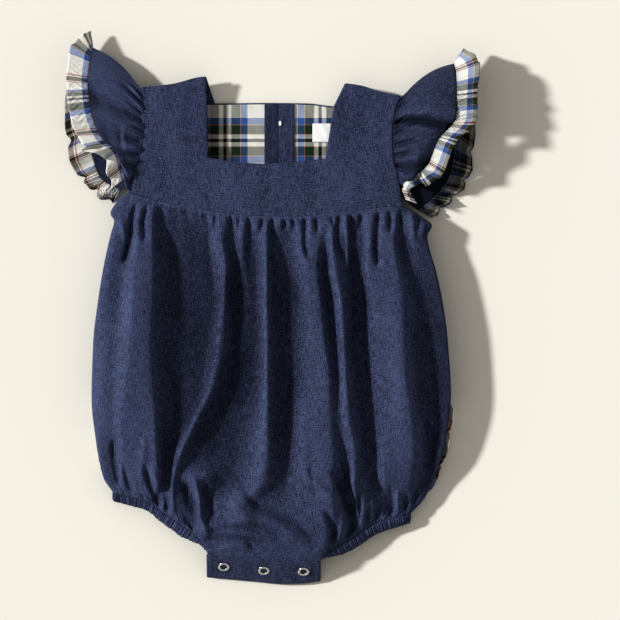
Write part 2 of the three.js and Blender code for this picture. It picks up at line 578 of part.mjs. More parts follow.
// A fold's depth, held softly to the room that the front has over the body's hollow.
function heldOver(lift, z) {
  const room = Math.max(z - HOLLOW_TOP, EDGE_ROOM);
  const near = Math.max(HOLLOW_SOFTNESS - Math.abs(-lift - room), 0) / HOLLOW_SOFTNESS;
  return -(Math.min(-lift, room) - (near ** 2 * HOLLOW_SOFTNESS) / 4);
}
function frontPoint(g, v) {
  const a = frontPlace(g, v);
  const inner = Math.cos(a.turn) ** 2;
  const ends = ease(v / FOLDS_FROM_SEAM) * ease((1 - v) / FOLDS_FROM_FOOT);
  const gathers = yokeGathers(a.x, a.top - a.y) * ease(v / GATHERS_FROM_SEAM);
  const lift = ((foldsAt(a.x, a.y) + creasesAt(a.x, a.y)) * ends + gathers) * inner;
  return new THREE.Vector3(a.x, a.y, a.z + heldOver(lift, a.z));
}
function frontFacing(g, v) {
  const a = frontPlace(g, v);
  return new THREE.Vector3(Math.sign(g) * Math.sin(a.turn), 0, Math.cos(a.turn));
}

// The rows of the front's grid, closer at the gathers, and level with the back's at the sides.
const FRONT_ROWS = [
  0, 0.02, 0.055, 0.1, 0.16, 0.22, 0.3, 0.37, 0.44, 0.53, 0.62, 0.68, 0.73, 0.785, 0.835, 0.885, 0.93,
  0.965, 1,
];
const roundColumns = (inner, round) => [
  ...evenly(round, -1, -ROUND_FROM).slice(0, -1),
  ...evenly(inner, -ROUND_FROM, ROUND_FROM),
  ...evenly(round, ROUND_FROM, 1).slice(1),
];

function addFrontBody() {
  add('front_body', clothWall({
    columns: roundColumns(68, 5),
    rows: FRONT_ROWS,
    place: (g, v) => {
      const point = frontPoint(g, v);
      point.y += mix(-SEAM_GAP / 2, SEAM_GAP / 2, v);
      point.z += SIDE_SEAM_GAP * Math.sin(frontPlace(g, v).turn);
      return point;
    },
    facing: frontFacing,
    wall: BODY_WALL,
  }), denim);
}

// The back of the body lies on the floor and turns up to the side seams.
function backWidths(v, g) {
  const y = g < 0 ? mix(LEFT_TOP, LEFT_FOOT, v) : mix(RIGHT_TOP, RIGHT_FOOT, v);
  return clamp((sideHeight(y) - backLevel(v)) * BACK_ROUND_SHARE, 1, BACK_ROUND_MOST);
}
function backPlace(g, v) {
  const a = across(g, v, backWidths(v, g));
  const level = backLevel(v);
  return { ...a, z: level + (a.side - level) * (1 - Math.cos(a.turn)) };
}
const backPoint = (g, v) => {
  const a = backPlace(g, v);
  return new THREE.Vector3(a.x, a.y, a.z);
};
function backFacing(g, v) {
  const a = backPlace(g, v);
  return new THREE.Vector3(Math.sign(g) * Math.sin(a.turn), 0, -Math.cos(a.turn));
}

const BACK_COLUMNS = roundColumns(24, 5);
function addBackBody() {
  add('back_body', clothWall({
    columns: BACK_COLUMNS,
    rows: BACK_LEVEL.map((row) => row.v),
    place: (g, v) => {
      const point = backPoint(g, v);
      point.y += mix(-SEAM_GAP / 2, SEAM_GAP / 2, v);
      point.z -= SIDE_SEAM_GAP * Math.sin(backPlace(g, v).turn);
      return point;
    },
    facing: backFacing,
    wall: BACK_WALL,
  }), denim);
}

// Each leg casing is one gathered band: from the crotch tab along the front to the side seam,
// and back along the back. s is 0 and 1 at the tab and 0.5 at the side seam.
const CASING_START = 0.04;
const CASING_START_BACK = 0.09;
const CASING_FRONT_STATIONS = 66;
const CASING_BACK_STATIONS = 16;
const FRONT_SHARE = 0.7;
function casing(name, side, tabX) {
  const half = (FOOT_RIGHT - FOOT_LEFT) / 2;
  const wAtTab = (tabX - FOOT_LEFT) / half - 1;
  const from = (round) => (wAtTab * ROUND_FROM) / (1 - round / half);
  const gOf = (s) => (s < FRONT_SHARE ? mix(from(frontWidths(1, side)), side, s / FRONT_SHARE)
    : mix(side, from(backWidths(1, side)), (s - FRONT_SHARE) / (1 - FRONT_SHARE)));
  const stations = [
    ...evenly(CASING_FRONT_STATIONS, 0, FRONT_SHARE).slice(0, -1),
    ...evenly(CASING_BACK_STATIONS, FRONT_SHARE, 1),
  ];
  const onFront = (s) => s < FRONT_SHARE;
  const seamOf = (s) => (onFront(s) ? frontPlace(gOf(s), 1) : backPlace(gOf(s), 1));
  add(name, clothWall({
    columns: stations,
    rows: [0, 0.5, 1],
    place: (s, t) => {
      const a = seamOf(s);
      const start = onFront(s) ? CASING_START : CASING_START_BACK;
      const reach = mix(start, 1, t);
      const sink = onFront(s) ? CASING_SINK * t * t * Math.cos(a.turn) : 0;
      const floor = CASING_WALL / 2 + FLOOR_GAP;
      const z = onFront(s) ? a.z - sink : Math.max(a.z, floor);
      return new THREE.Vector3(a.x + edgeOutX(a.footX) * reach, a.y + edgeOutY(a.footX) * reach, z);
    },
    facing: (s) => (onFront(s) ? frontFacing(gOf(s), 1) : backFacing(gOf(s), 1)),
    wall: CASING_WALL,
    raise: (s, t) => {
      const fade = Math.sin(Math.PI * Math.min(t * 1.4, 1) * 0.5) * ease(s / 0.03);
      const wave = Math.sin((2 * Math.PI * CASING_GATHERS * s) / FRONT_SHARE);
      return onFront(s) ? CASING_GATHER_HEIGHT * wave * fade * Math.cos(seamOf(s).turn) : 0;
    },
  }), denim);
}

// The front crotch tab slopes from the body down to the floor.
const tabHem = line(TAB_HEM, 'x', 'y');
const tabTopX = (u) => mix(TAB_LEFT, TAB_RIGHT, u);
const tabSeam = (x) => edgeY(clamp(x, TAB_LEFT + 1.8, TAB_RIGHT - 1.6)) - SEAM_GAP / 2;
function tabPoint(u, t) {
  const x = tabTopX(u);
  return new THREE.Vector3(x, mix(tabSeam(x), tabHem(x), t), mix(edgeZ(x), TAB_HEM_HEIGHT, t));
}
const UP = new THREE.Vector3(0, 0, 1);
function addTabFront() {
  add('crotch_tab_front', clothWall({
    columns: evenly(14),
    rows: evenly(4),
    place: tabPoint,
    facing: () => UP,
    wall: TAB_WALL,
  }), denim);
}

// The back crotch tab lies on the floor, turns over at the hem of the front tab, and comes
// back up under it, where the snaps hold the two together.
const TAB_FOLD_RADIUS = 1.25;
const TAB_UNDER = TAB_WALL / 2 + SEAM_GAP + 0.85;
const TAB_UPPER_LENGTH = 12;
function tabBackPath(u) {
  const x = tabTopX(u);
  const rise = (edgeZ(x) - TAB_HEM_HEIGHT) / (tabSeam(x) - tabHem(x));
  const upper = (y) => TAB_HEM_HEIGHT - TAB_UNDER + rise * (y - tabHem(x));
  const low = TAB_BACK_WALL / 2 + FLOOR_GAP;
  const slope = Math.atan(rise);
  const middleZ = low + TAB_FOLD_RADIUS;
  const middleY = tabHem(x) + (TAB_FOLD_RADIUS / Math.cos(slope) + middleZ - upper(tabHem(x))) / rise;
  const round = evenly(5).map((t) => {
    const angle = -Math.PI / 2 - t * (Math.PI - slope);
    return [middleY + TAB_FOLD_RADIUS * Math.cos(angle), middleZ + TAB_FOLD_RADIUS * Math.sin(angle)];
  });
  const [lastY] = round[round.length - 1];
  const rest = [0.5, 1].map((t) => {
    const y = lastY + t * TAB_UPPER_LENGTH;
    return [y, upper(y)];
  });
  return [[tabSeam(x) - 0.2, low], ...round, ...rest].map(([y, z]) => new THREE.Vector3(x, y, z));
}
function addTabBack() {
  const steps = tabBackPath(0).length - 1;
  const at = (u, k) => tabBackPath(u)[k];
  add('crotch_tab_back', clothWall({
    columns: evenly(8),
    rows: evenly(steps, 0, steps).map(Math.round),
    place: at,
    facing: (u, k) => {
      const path = tabBackPath(u);
      const along = path[Math.min(k + 1, steps)].clone().sub(path[Math.max(k - 1, 0)]);
      return new THREE.Vector3(0, along.z, -along.y).normalize().negate();
    },
    wall: TAB_BACK_WALL,
  }), denim);
}

// A ring snap: a flat ring with rounded edges, turned to lie on the slope of the tab.
function addSnaps() {
  const { outer, inner, height } = SNAP;
  const middle = (outer + inner) / 2;
  const profile = [
    [inner, 0], [outer, 0], [outer, height * 0.55], [middle + 0.5, height], [middle - 0.5, height],
    [inner, height * 0.55], [inner, 0],
  ].map(([x, y]) => new THREE.Vector2(x, y));
  SNAPS.forEach(({ x }, index) => {
    const u = (x - TAB_LEFT) / (TAB_RIGHT - TAB_LEFT);
    const top = tabPoint(u, 0);
    const hem = tabPoint(u, 1);
    const t = (hem.y + SNAP_FROM_TAB_HEM - top.y) / (hem.y - top.y);
    const place = tabPoint(u, t);
    const slope = Math.atan2(tabPoint(u, t - 0.2).z - tabPoint(u, t + 0.2).z,
      tabPoint(u, t - 0.2).y - tabPoint(u, t + 0.2).y);
    const normal = new THREE.Vector3(0, -Math.sin(slope), Math.cos(slope));
    const ring = new THREE.LatheGeometry(profile, 16);
    const mesh = add(`snap_ring_${index + 1}`, ring, steel);
    mesh.quaternion.setFromUnitVectors(new THREE.Vector3(0, 1, 0), normal);
    mesh.position.copy(place).addScaledVector(normal, (TAB_WALL / 2) * Math.cos(slope) + SEAM_GAP + 0.1);
  });
}

// The front yoke: a plain panel with a strap on each side of the square neck.
const YOKE_LINES = {
  left: armholeLeft,
  neckLeft: line(NECK_LEFT, 'y', 'x'),
  neckRight: line(NECK_RIGHT, 'y', 'x'),
  right: armholeRight,
};
const neckline = line(NECKLINE, 'x', 'y');
const strapEnds = line(STRAP_ENDS, 'x', 'y');
const STRAP_COLUMNS = 6;
const NECK_COLUMNS = 12;
const STRAP_ROWS = 6;
const CHEST_ROWS = 6;

// u runs 0 to 1 over the left strap, 1 to 2 over the neck and 2 to 3 over the right strap; v runs
// 0 to 1 down the straps and 1 to 2 down the chest to the yoke seam.
function panelPoint(lines, u, v, top, middle, bottom) {
  const band = Math.min(2, Math.floor(u));
  const names = ['left', 'neckLeft', 'neckRight', 'right'];
  let y = 130;
  let x = 0;
  for (let pass = 0; pass < 6; pass += 1) {
    x = mix(lines[names[band]](y), lines[names[band + 1]](y), u - band);
    y = v < 1 ? mix(top(x), middle(x), v) : mix(middle(x), bottom(x), v - 1);
  }
  return new THREE.Vector2(x, y);
}
function yokeHeight(x, y) {
  const left = armholeLeft(y);
  const right = armholeRight(y);
  const w = clamp((2 * x - left - right) / (right - left), -1, 1);
  return armholeHeight(y) + (chestHeight(y) - armholeHeight(y)) * (1 - w ** 4);
}
function addFrontYoke() {
  const columns = [
    ...evenly(STRAP_COLUMNS, 0, 1).slice(0, -1),
    ...evenly(NECK_COLUMNS, 1, 2).slice(0, -1),
    ...evenly(STRAP_COLUMNS, 2, 3),
  ];
  add('front_yoke', clothWall({
    columns,
    rows: [...evenly(STRAP_ROWS, 0, 1).slice(0, -1), ...evenly(CHEST_ROWS, 1, 2)],
    place: (u, v) => {
      const seam = (x) => yokeSeam(x) + SEAM_GAP / 2;
      const at = panelPoint(YOKE_LINES, u, v, strapEnds, neckline, seam);
      return new THREE.Vector3(at.x, at.y, yokeHeight(at.x, at.y));
    },
    facing: () => UP,
    wall: YOKE_WALL,
    keep: (i, j) => j >= STRAP_ROWS || i < STRAP_COLUMNS || i >= STRAP_COLUMNS + NECK_COLUMNS,
  }), denim);
}

// The back yoke, in two halves that meet at the back opening, with straps that rise to meet
// those of the front at the shoulders.
const backYokeLevel = line(BACK_YOKE_LEVEL, 'y', 'z');
const backYokeEdge = line(BACK_YOKE_EDGE, 'y', 'z');
const backNeckline = line(BACK_NECKLINE, 'x', 'y');
const HALF_NECK_COLUMNS = 3;
const BACK_STRAP_ROWS = 4;
const BACK_CHEST_ROWS = [1, 1.12, 1.3, 1.5, 1.68, 1.84, 2];
function backYokePlace(x, y) {
  const toEdge = Math.min(x - armholeLeft(y), armholeRight(y) - x);
  const q = clamp(1 - toEdge / BACK_YOKE_RISE, 0, 1);
  const level = backYokeLevel(y);
  const rise = backYokeEdge(y) - level;
  const slope = (2 * rise * q) / BACK_YOKE_RISE;
  return { z: level + rise * q * q, slope };
}
function backYokeFacing(x, y, side) {
  const { slope } = backYokePlace(x, y);
  return new THREE.Vector3(side * slope, 0, -1).normalize();
}
function addBackYoke(name, side) {
  const opening = () => BACK_OPENING_X + (side * SEAM_GAP) / 2;
  const lines = side < 0
    ? { left: armholeLeft, neckLeft: line(BACK_NECK_LEFT, 'y', 'x'), neckRight: opening }
    : { left: opening, neckLeft: line(BACK_NECK_RIGHT, 'y', 'x'), neckRight: armholeRight };
  const counts = side < 0 ? [STRAP_COLUMNS, HALF_NECK_COLUMNS] : [HALF_NECK_COLUMNS, STRAP_COLUMNS];
  const at = (u, v) => panelPoint(lines, u, v, strapEnds, backNeckline, (x) => yokeSeam(x) + SEAM_GAP / 2);
  add(name, clothWall({
    columns: [...evenly(counts[0], 0, 1).slice(0, -1), ...evenly(counts[1], 1, 1.9999)],
    rows: [...evenly(BACK_STRAP_ROWS, 0, 1).slice(0, -1), ...BACK_CHEST_ROWS],
    place: (u, v) => {
      const p = at(u, v);
      return new THREE.Vector3(p.x, p.y, backYokePlace(p.x, p.y).z);
    },
    facing: (u, v) => {
      const p = at(u, v);
      return backYokeFacing(p.x, p.y, side);
    },
    wall: BACK_YOKE_WALL,
    keep: (i, j) => j >= BACK_STRAP_ROWS || (side < 0 ? i < counts[0] : i >= counts[0]),
  }), denim);
}

// What lies on the inside of the back yoke, in layers: the facing of checked cloth, the bands
// of the back opening, the label and the button.
const LINING_MIDDLE = BACK_YOKE_WALL / 2 + SEAM_GAP + LINING_WALL / 2;
const PLACKET_MIDDLE = LINING_MIDDLE + LINING_WALL / 2 + SEAM_GAP + PLACKET_WALL / 2;
const LABEL_MIDDLE = LINING_MIDDLE + LINING_WALL / 2 + SEAM_GAP + LABEL_WALL / 2;
function flatPanel(name, { left, right, low, top }, over, wall, finish, columns = 1) {
  add(name, clothWall({
    columns: evenly(columns),
    rows: [0, 0.05, 0.12, 0.3, 1],
    place: (u, v) => {
      const x = mix(left, right, u);
      const y = mix(top(x), low, v);
      return new THREE.Vector3(x, y, backYokePlace(x, y).z + over);
    },
    facing: () => UP,
    wall,
  }), finish);
}
function addInside() {
  const half = SEAM_GAP / 2;
  const bandTop = () => PLACKET.top;
  const left = { left: LINING.left, right: BACK_OPENING_X - half, low: LINING.low, top: backNeckline };
  const right = { left: BACK_OPENING_X + half, right: LINING.right, low: LINING.low, top: backNeckline };
  flatPanel('back_lining_left', left, LINING_MIDDLE, LINING_WALL, check, 6);
  flatPanel('back_lining_right', right, LINING_MIDDLE, LINING_WALL, check, 6);
  const bandLeft = { left: PLACKET.left, right: BACK_OPENING_X - half, low: LINING.low, top: bandTop };
  const bandRight = { left: BACK_OPENING_X + half, right: PLACKET.right, low: LINING.low, top: bandTop };
  flatPanel('back_placket_left', bandLeft, PLACKET_MIDDLE, PLACKET_WALL, denim);
  flatPanel('back_placket_right', bandRight, PLACKET_MIDDLE, PLACKET_WALL, denim);
  const low = LABEL.y - LABEL.length / 2;
  const wide = LABEL.width / 2;
  const tag = { left: LABEL.x - wide, right: LABEL.x + wide, low, top: () => low + LABEL.length };
  flatPanel('label_blank', tag, LABEL_MIDDLE, LABEL_WALL, white);
  const { radius, height } = BUTTON;
  const profile = [[0, 0], [radius, 0], [radius, height * 0.5], [radius * 0.7, height], [0, height]];
  const dome = new THREE.LatheGeometry(profile.map(([x, y]) => new THREE.Vector2(x, y)), 12);
  dome.rotateX(Math.PI / 2);
  dome.scale(BUTTON.squash, 1, 1);
  const button = add('back_button', dome, white);
  const seat = backYokePlace(BUTTON.x, BUTTON.y).z + PLACKET_MIDDLE + PLACKET_WALL / 2 + SEAM_GAP;
  button.position.set(BUTTON.x, BUTTON.y, seat);
}

// The sleeves: a band of denim from the armhole out to the seam with the ruffle, which stands
// open like a bell between its back, on the floor, and its front.
function sleeveLines(table) {
  const names = ['arm', 'x', 'y', 'z', 'hemX', 'hemY', 'hemZ'];
  return Object.fromEntries(names.map((name) => [name, line(table, 's', name)]));
}
const TURN_FROM = 0.455;
const TURN_TO = 0.545;
function armholeFacing(s, y, side) {
  const back = backYokeFacing(side * 500, y, side);
  const slope = backYokePlace(side < 0 ? armholeLeft(y) : armholeRight(y), y).slope;
  if (s <= TURN_FROM) return back.set(side * slope, 0, -1).normalize();
  if (s >= TURN_TO) return UP.clone();
  const turn = ((s - TURN_FROM) / (TURN_TO - TURN_FROM)) * Math.PI - Math.PI / 2;
  return new THREE.Vector3(side * Math.cos(turn), 0.3 * Math.cos(turn), Math.sin(turn)).normalize();
}
function armholePoint(s, y, side) {
  const x = side < 0 ? armholeLeft(y) : armholeRight(y);
  const back = backYokePlace(x, y);
  const turned = ease((s - TURN_FROM) / (TURN_TO - TURN_FROM));
  const z = mix(back.z, armholeHeight(y), turned);
  const off = mix(ARMHOLE_GAP_BACK, ARMHOLE_GAP_FRONT, turned) + SHOULDER_REACH * Math.sin(Math.PI * turned);
  const level = s <= TURN_FROM ? 1 / Math.hypot(1, back.slope) : 1;
  return new THREE.Vector3(x + side * off * level, y, z + off * (1 - turned) * back.slope * level * 0.5);
}
function sleeveBase(lines, side, s, t) {
  const start = armholePoint(s, lines.arm(s), side);
  const seam = new THREE.Vector3(lines.x(s), lines.y(s), lines.z(s));
  const point = start.lerp(seam, t);
  point.z += SLEEVE_PUFF * Math.sin(Math.PI * t) * ease((s - 0.5) / 0.15) * ease((1.06 - s) / 0.16);
  return point;
}
function surfaceFacing(base, s, t, side) {
  const step = 0.004;
  const alongS = base(Math.min(s + step, 1), t).sub(base(Math.max(s - step, 0), t));
  const alongT = base(s, Math.min(t + step, 1)).sub(base(s, Math.max(t - step, 0)));
  return alongS.cross(alongT).multiplyScalar(side < 0 ? -1 : 1).normalize();
}
function sleeveFacing(lines, side, s, t) {
  const base = (a, b) => sleeveBase(lines, side, a, b);
  const open = surfaceFacing(base, s, clamp(t, 0.05, 0.95), side);
  return armholeFacing(s, lines.arm(s), side).lerp(open, ease(t / 0.3)).normalize();
}
const SLEEVE_STATIONS = [
  ...evenly(9, 0, TURN_FROM),
  ...evenly(5, TURN_FROM, TURN_TO).slice(1, -1),
  ...evenly(34, TURN_TO, 1),
];
function addSleeve(name, table, side) {
  const lines = sleeveLines(table);
  add(name, clothWall({
    columns: SLEEVE_STATIONS,
    rows: [0, 0.12, 0.35, 0.65, 1],
    place: (s, t) => {
      const point = sleeveBase(lines, side, s, t);
      const wave = Math.sin((2 * Math.PI * SLEEVE_GATHERS * (s - TURN_TO)) / (1 - TURN_TO));
      const swell = SLEEVE_GATHER_HEIGHT * wave * ease(t / 0.12) * ease((s - TURN_TO) / 0.04)
        * mix(1, 0.7, t) * ease((1 - s) / 0.04);
      return point.addScaledVector(sleeveFacing(lines, side, s, t), swell);
    },
    facing: (s, t) => sleeveFacing(lines, side, s, t),
    wall: SLEEVE_WALL,
  }), denim);
}

// The ruffle continues the sleeve from its seam to a waving free edge.
function ruffleBase(lines, s, t) {
  const seam = new THREE.Vector3(lines.x(s), lines.y(s), lines.z(s));
  const hem = new THREE.Vector3(lines.hemX(s), lines.hemY(s), lines.hemZ(s));
  return seam.lerp(hem, t);
}
const RUFFLE_BACK_END = 0.44;
const RUFFLE_STATIONS = [...evenly(18, 0, 0.46).slice(0, -1), ...evenly(38, 0.46, 1)];
function addRuffle(name, table, side) {
  const lines = sleeveLines(table);
  const base = (s, t) => ruffleBase(lines, s, t);
  const facing = (s, t) => {
    const seam = sleeveFacing(lines, side, s, 1);
    return seam.lerp(surfaceFacing(base, s, 0.5, side), ease(t / 0.5)).normalize();
  };
  add(name, clothWall({
    columns: RUFFLE_STATIONS,
    rows: [0, 0.45, 1],
    place: (s, t) => {
      const width = base(s, 1).distanceTo(base(s, 0));
      const point = base(s, mix((SEAM_GAP + 0.1) / width, 1, t));
      const flat = s < RUFFLE_BACK_END ? RUFFLE_BACK_SHARE : 1;
      const wave = Math.sin(2 * Math.PI * RUFFLE_WAVES * 2 * s + 0.8 * Math.sin(11 * s));
      return point.addScaledVector(facing(s, t), RUFFLE_WAVE_HEIGHT * flat * wave * t);
    },
    facing,
    wall: RUFFLE_WALL,
  }), check);
}

// A row of ruffle on the seat, made from the back's own points moved out, pressed flat between
// it and the floor, and turned up with it to the side seam.
function addSeatRuffles() {
  const off = BACK_WALL / 2 + SEAM_GAP - FLOOR_GAP + SEAT_WALL / 2;
  for (const { name, top, hem } of SEAT_RUFFLES) {
    add(name, clothWall({
      columns: BACK_COLUMNS.slice(1, -1),
      rows: [top, ...BACK_LEVEL.map((row) => row.v).filter((v) => v > top && v < hem), hem],
      place: (g, v) => backPoint(g, v).addScaledVector(backFacing(g, v), off),
      facing: backFacing,
      wall: SEAT_WALL,
    }), check);
  }
}

addFrontBody();
addBackBody();
casing('leg_casing_left', -1, TAB_LEFT - 2.2);
casing('leg_casing_right', 1, TAB_RIGHT + 2.0);
addTabFront();
addTabBack();
addSnaps();
addFrontYoke();
addBackYoke('back_yoke_left', -1);
addBackYoke('back_yoke_right', 1);
addInside();
addSleeve('sleeve_left', SLEEVE_LEFT, -1);
addSleeve('sleeve_right', SLEEVE_RIGHT, 1);
addRuffle('sleeve_ruffle_left', SLEEVE_LEFT, -1);
addRuffle('sleeve_ruffle_right', SLEEVE_RIGHT, 1);
addSeatRuffles();

export default romper;
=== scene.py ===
import math

import bmesh
import bpy
import numpy as np
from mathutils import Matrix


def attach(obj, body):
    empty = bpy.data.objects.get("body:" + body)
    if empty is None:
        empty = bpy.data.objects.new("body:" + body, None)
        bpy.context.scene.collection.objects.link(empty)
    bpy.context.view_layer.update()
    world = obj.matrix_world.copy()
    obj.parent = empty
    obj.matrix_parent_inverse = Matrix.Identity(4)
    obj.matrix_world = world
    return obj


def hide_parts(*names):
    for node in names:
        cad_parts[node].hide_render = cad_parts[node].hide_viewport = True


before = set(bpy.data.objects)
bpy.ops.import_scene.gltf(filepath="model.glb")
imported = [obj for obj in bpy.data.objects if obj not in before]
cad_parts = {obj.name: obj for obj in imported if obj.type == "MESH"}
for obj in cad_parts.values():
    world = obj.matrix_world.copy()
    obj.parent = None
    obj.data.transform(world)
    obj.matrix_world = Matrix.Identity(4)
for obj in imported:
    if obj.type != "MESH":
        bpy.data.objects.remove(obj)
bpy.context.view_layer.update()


# Front of the body: one wide panel of thin indigo denim, gathered into the yoke above and into
# the leg casings below, so it stands up like a low bubble. Its folds are listed one by one: the large
# ones as in the solids, and the smaller creases that the real cloth has between them.
MM = 0.001
SHELL = 0.9
SIDE_LEFT = [  # y, x
    (93, -117), (86, -125), (76, -130.5), (70, -127.5), (60, -130), (38, -135), (5, -140.5),
    (-30, -144.5), (-75, -145.8), (-110, -142.3), (-140, -136.5), (-152, -129),
]
SIDE_RIGHT = [  # y, x
    (82.5, 107), (74, 121.5), (66, 130.3), (57.5, 126.5), (50, 127.5), (30, 133.3), (3, 139),
    (-27, 143), (-72, 145.6), (-105, 142.3), (-131, 135.7), (-156, 125), (-170, 113),
]
YOKE_SEAM = [(-117, 93), (-75, 82.4), (-42, 76.7), (-5, 73.8), (15, 73.4), (60, 77.5), (107, 82.5)]
LOWER_EDGE = [  # x, y, outX, outY, z
    (-129, -152, 0.5, -7.2, 13), (-116, -155.4, 0.3, -7.2, 14), (-101, -159.5, -1.2, -7.0, 14),
    (-87, -169.3, -3.2, -6.8, 14.5), (-70.9, -180, -4.4, -7.0, 17), (-58.5, -190.5, -5.2, -6.6, 20),
    (-53.2, -199, -5.0, -5.6, 21.5), (-51, -202.5, -4.2, -4.0, 22), (-7, -206, 0, -6, 23.5),
    (38.5, -208.4, 4.2, -4.0, 21.5), (42, -204.5, 4.6, -6.2, 20.5), (52, -197, 4.2, -7.4, 18.5),
    (68.5, -187.5, 4.0, -7.6, 16), (84, -177.5, 2.6, -8.2, 14), (99, -173.2, 1.2, -8.0, 13),
    (113, -170, -1.0, -7.4, 12),
]
SIDE_HEIGHT = [  # y, z
    (93, 15.5), (80, 15.8), (60, 18.5), (30, 20.5), (-60, 21.5), (-120, 17), (-150, 8.5), (-170, 7),
]
CHEST_HEIGHT = [
    (73, 20), (90, 18.8), (105, 17), (120, 15.5), (140, 13.6), (160, 13.8), (175, 15.4), (188, 17.4),
]
CROWN = [(0, 0), (0.07, 6.5), (0.22, 16.5), (0.45, 21.5), (0.66, 21), (0.84, 14), (0.95, 5), (1, 0)]
CROWN_FALL = 0.25
ROUND_FROM = 0.86
ROUND_SHARE, ROUND_LEAST, ROUND_MOST = 1.15, 3, 20
YOKE_SEAM_MEAN = 76
BODY_WALL = 2.0
HOLLOW_TOP, EDGE_ROOM, HOLLOW_SOFTNESS = 17.4, 6, 3
SEAM_GAP = 0.32
SIDE_SEAM_GAP = 0.25
FOLD_STATIONS = [67.5, 54.5, 34, 5.5, -27.5, -60.5, -93, -122, -142.5, -163, -183.5]  # y
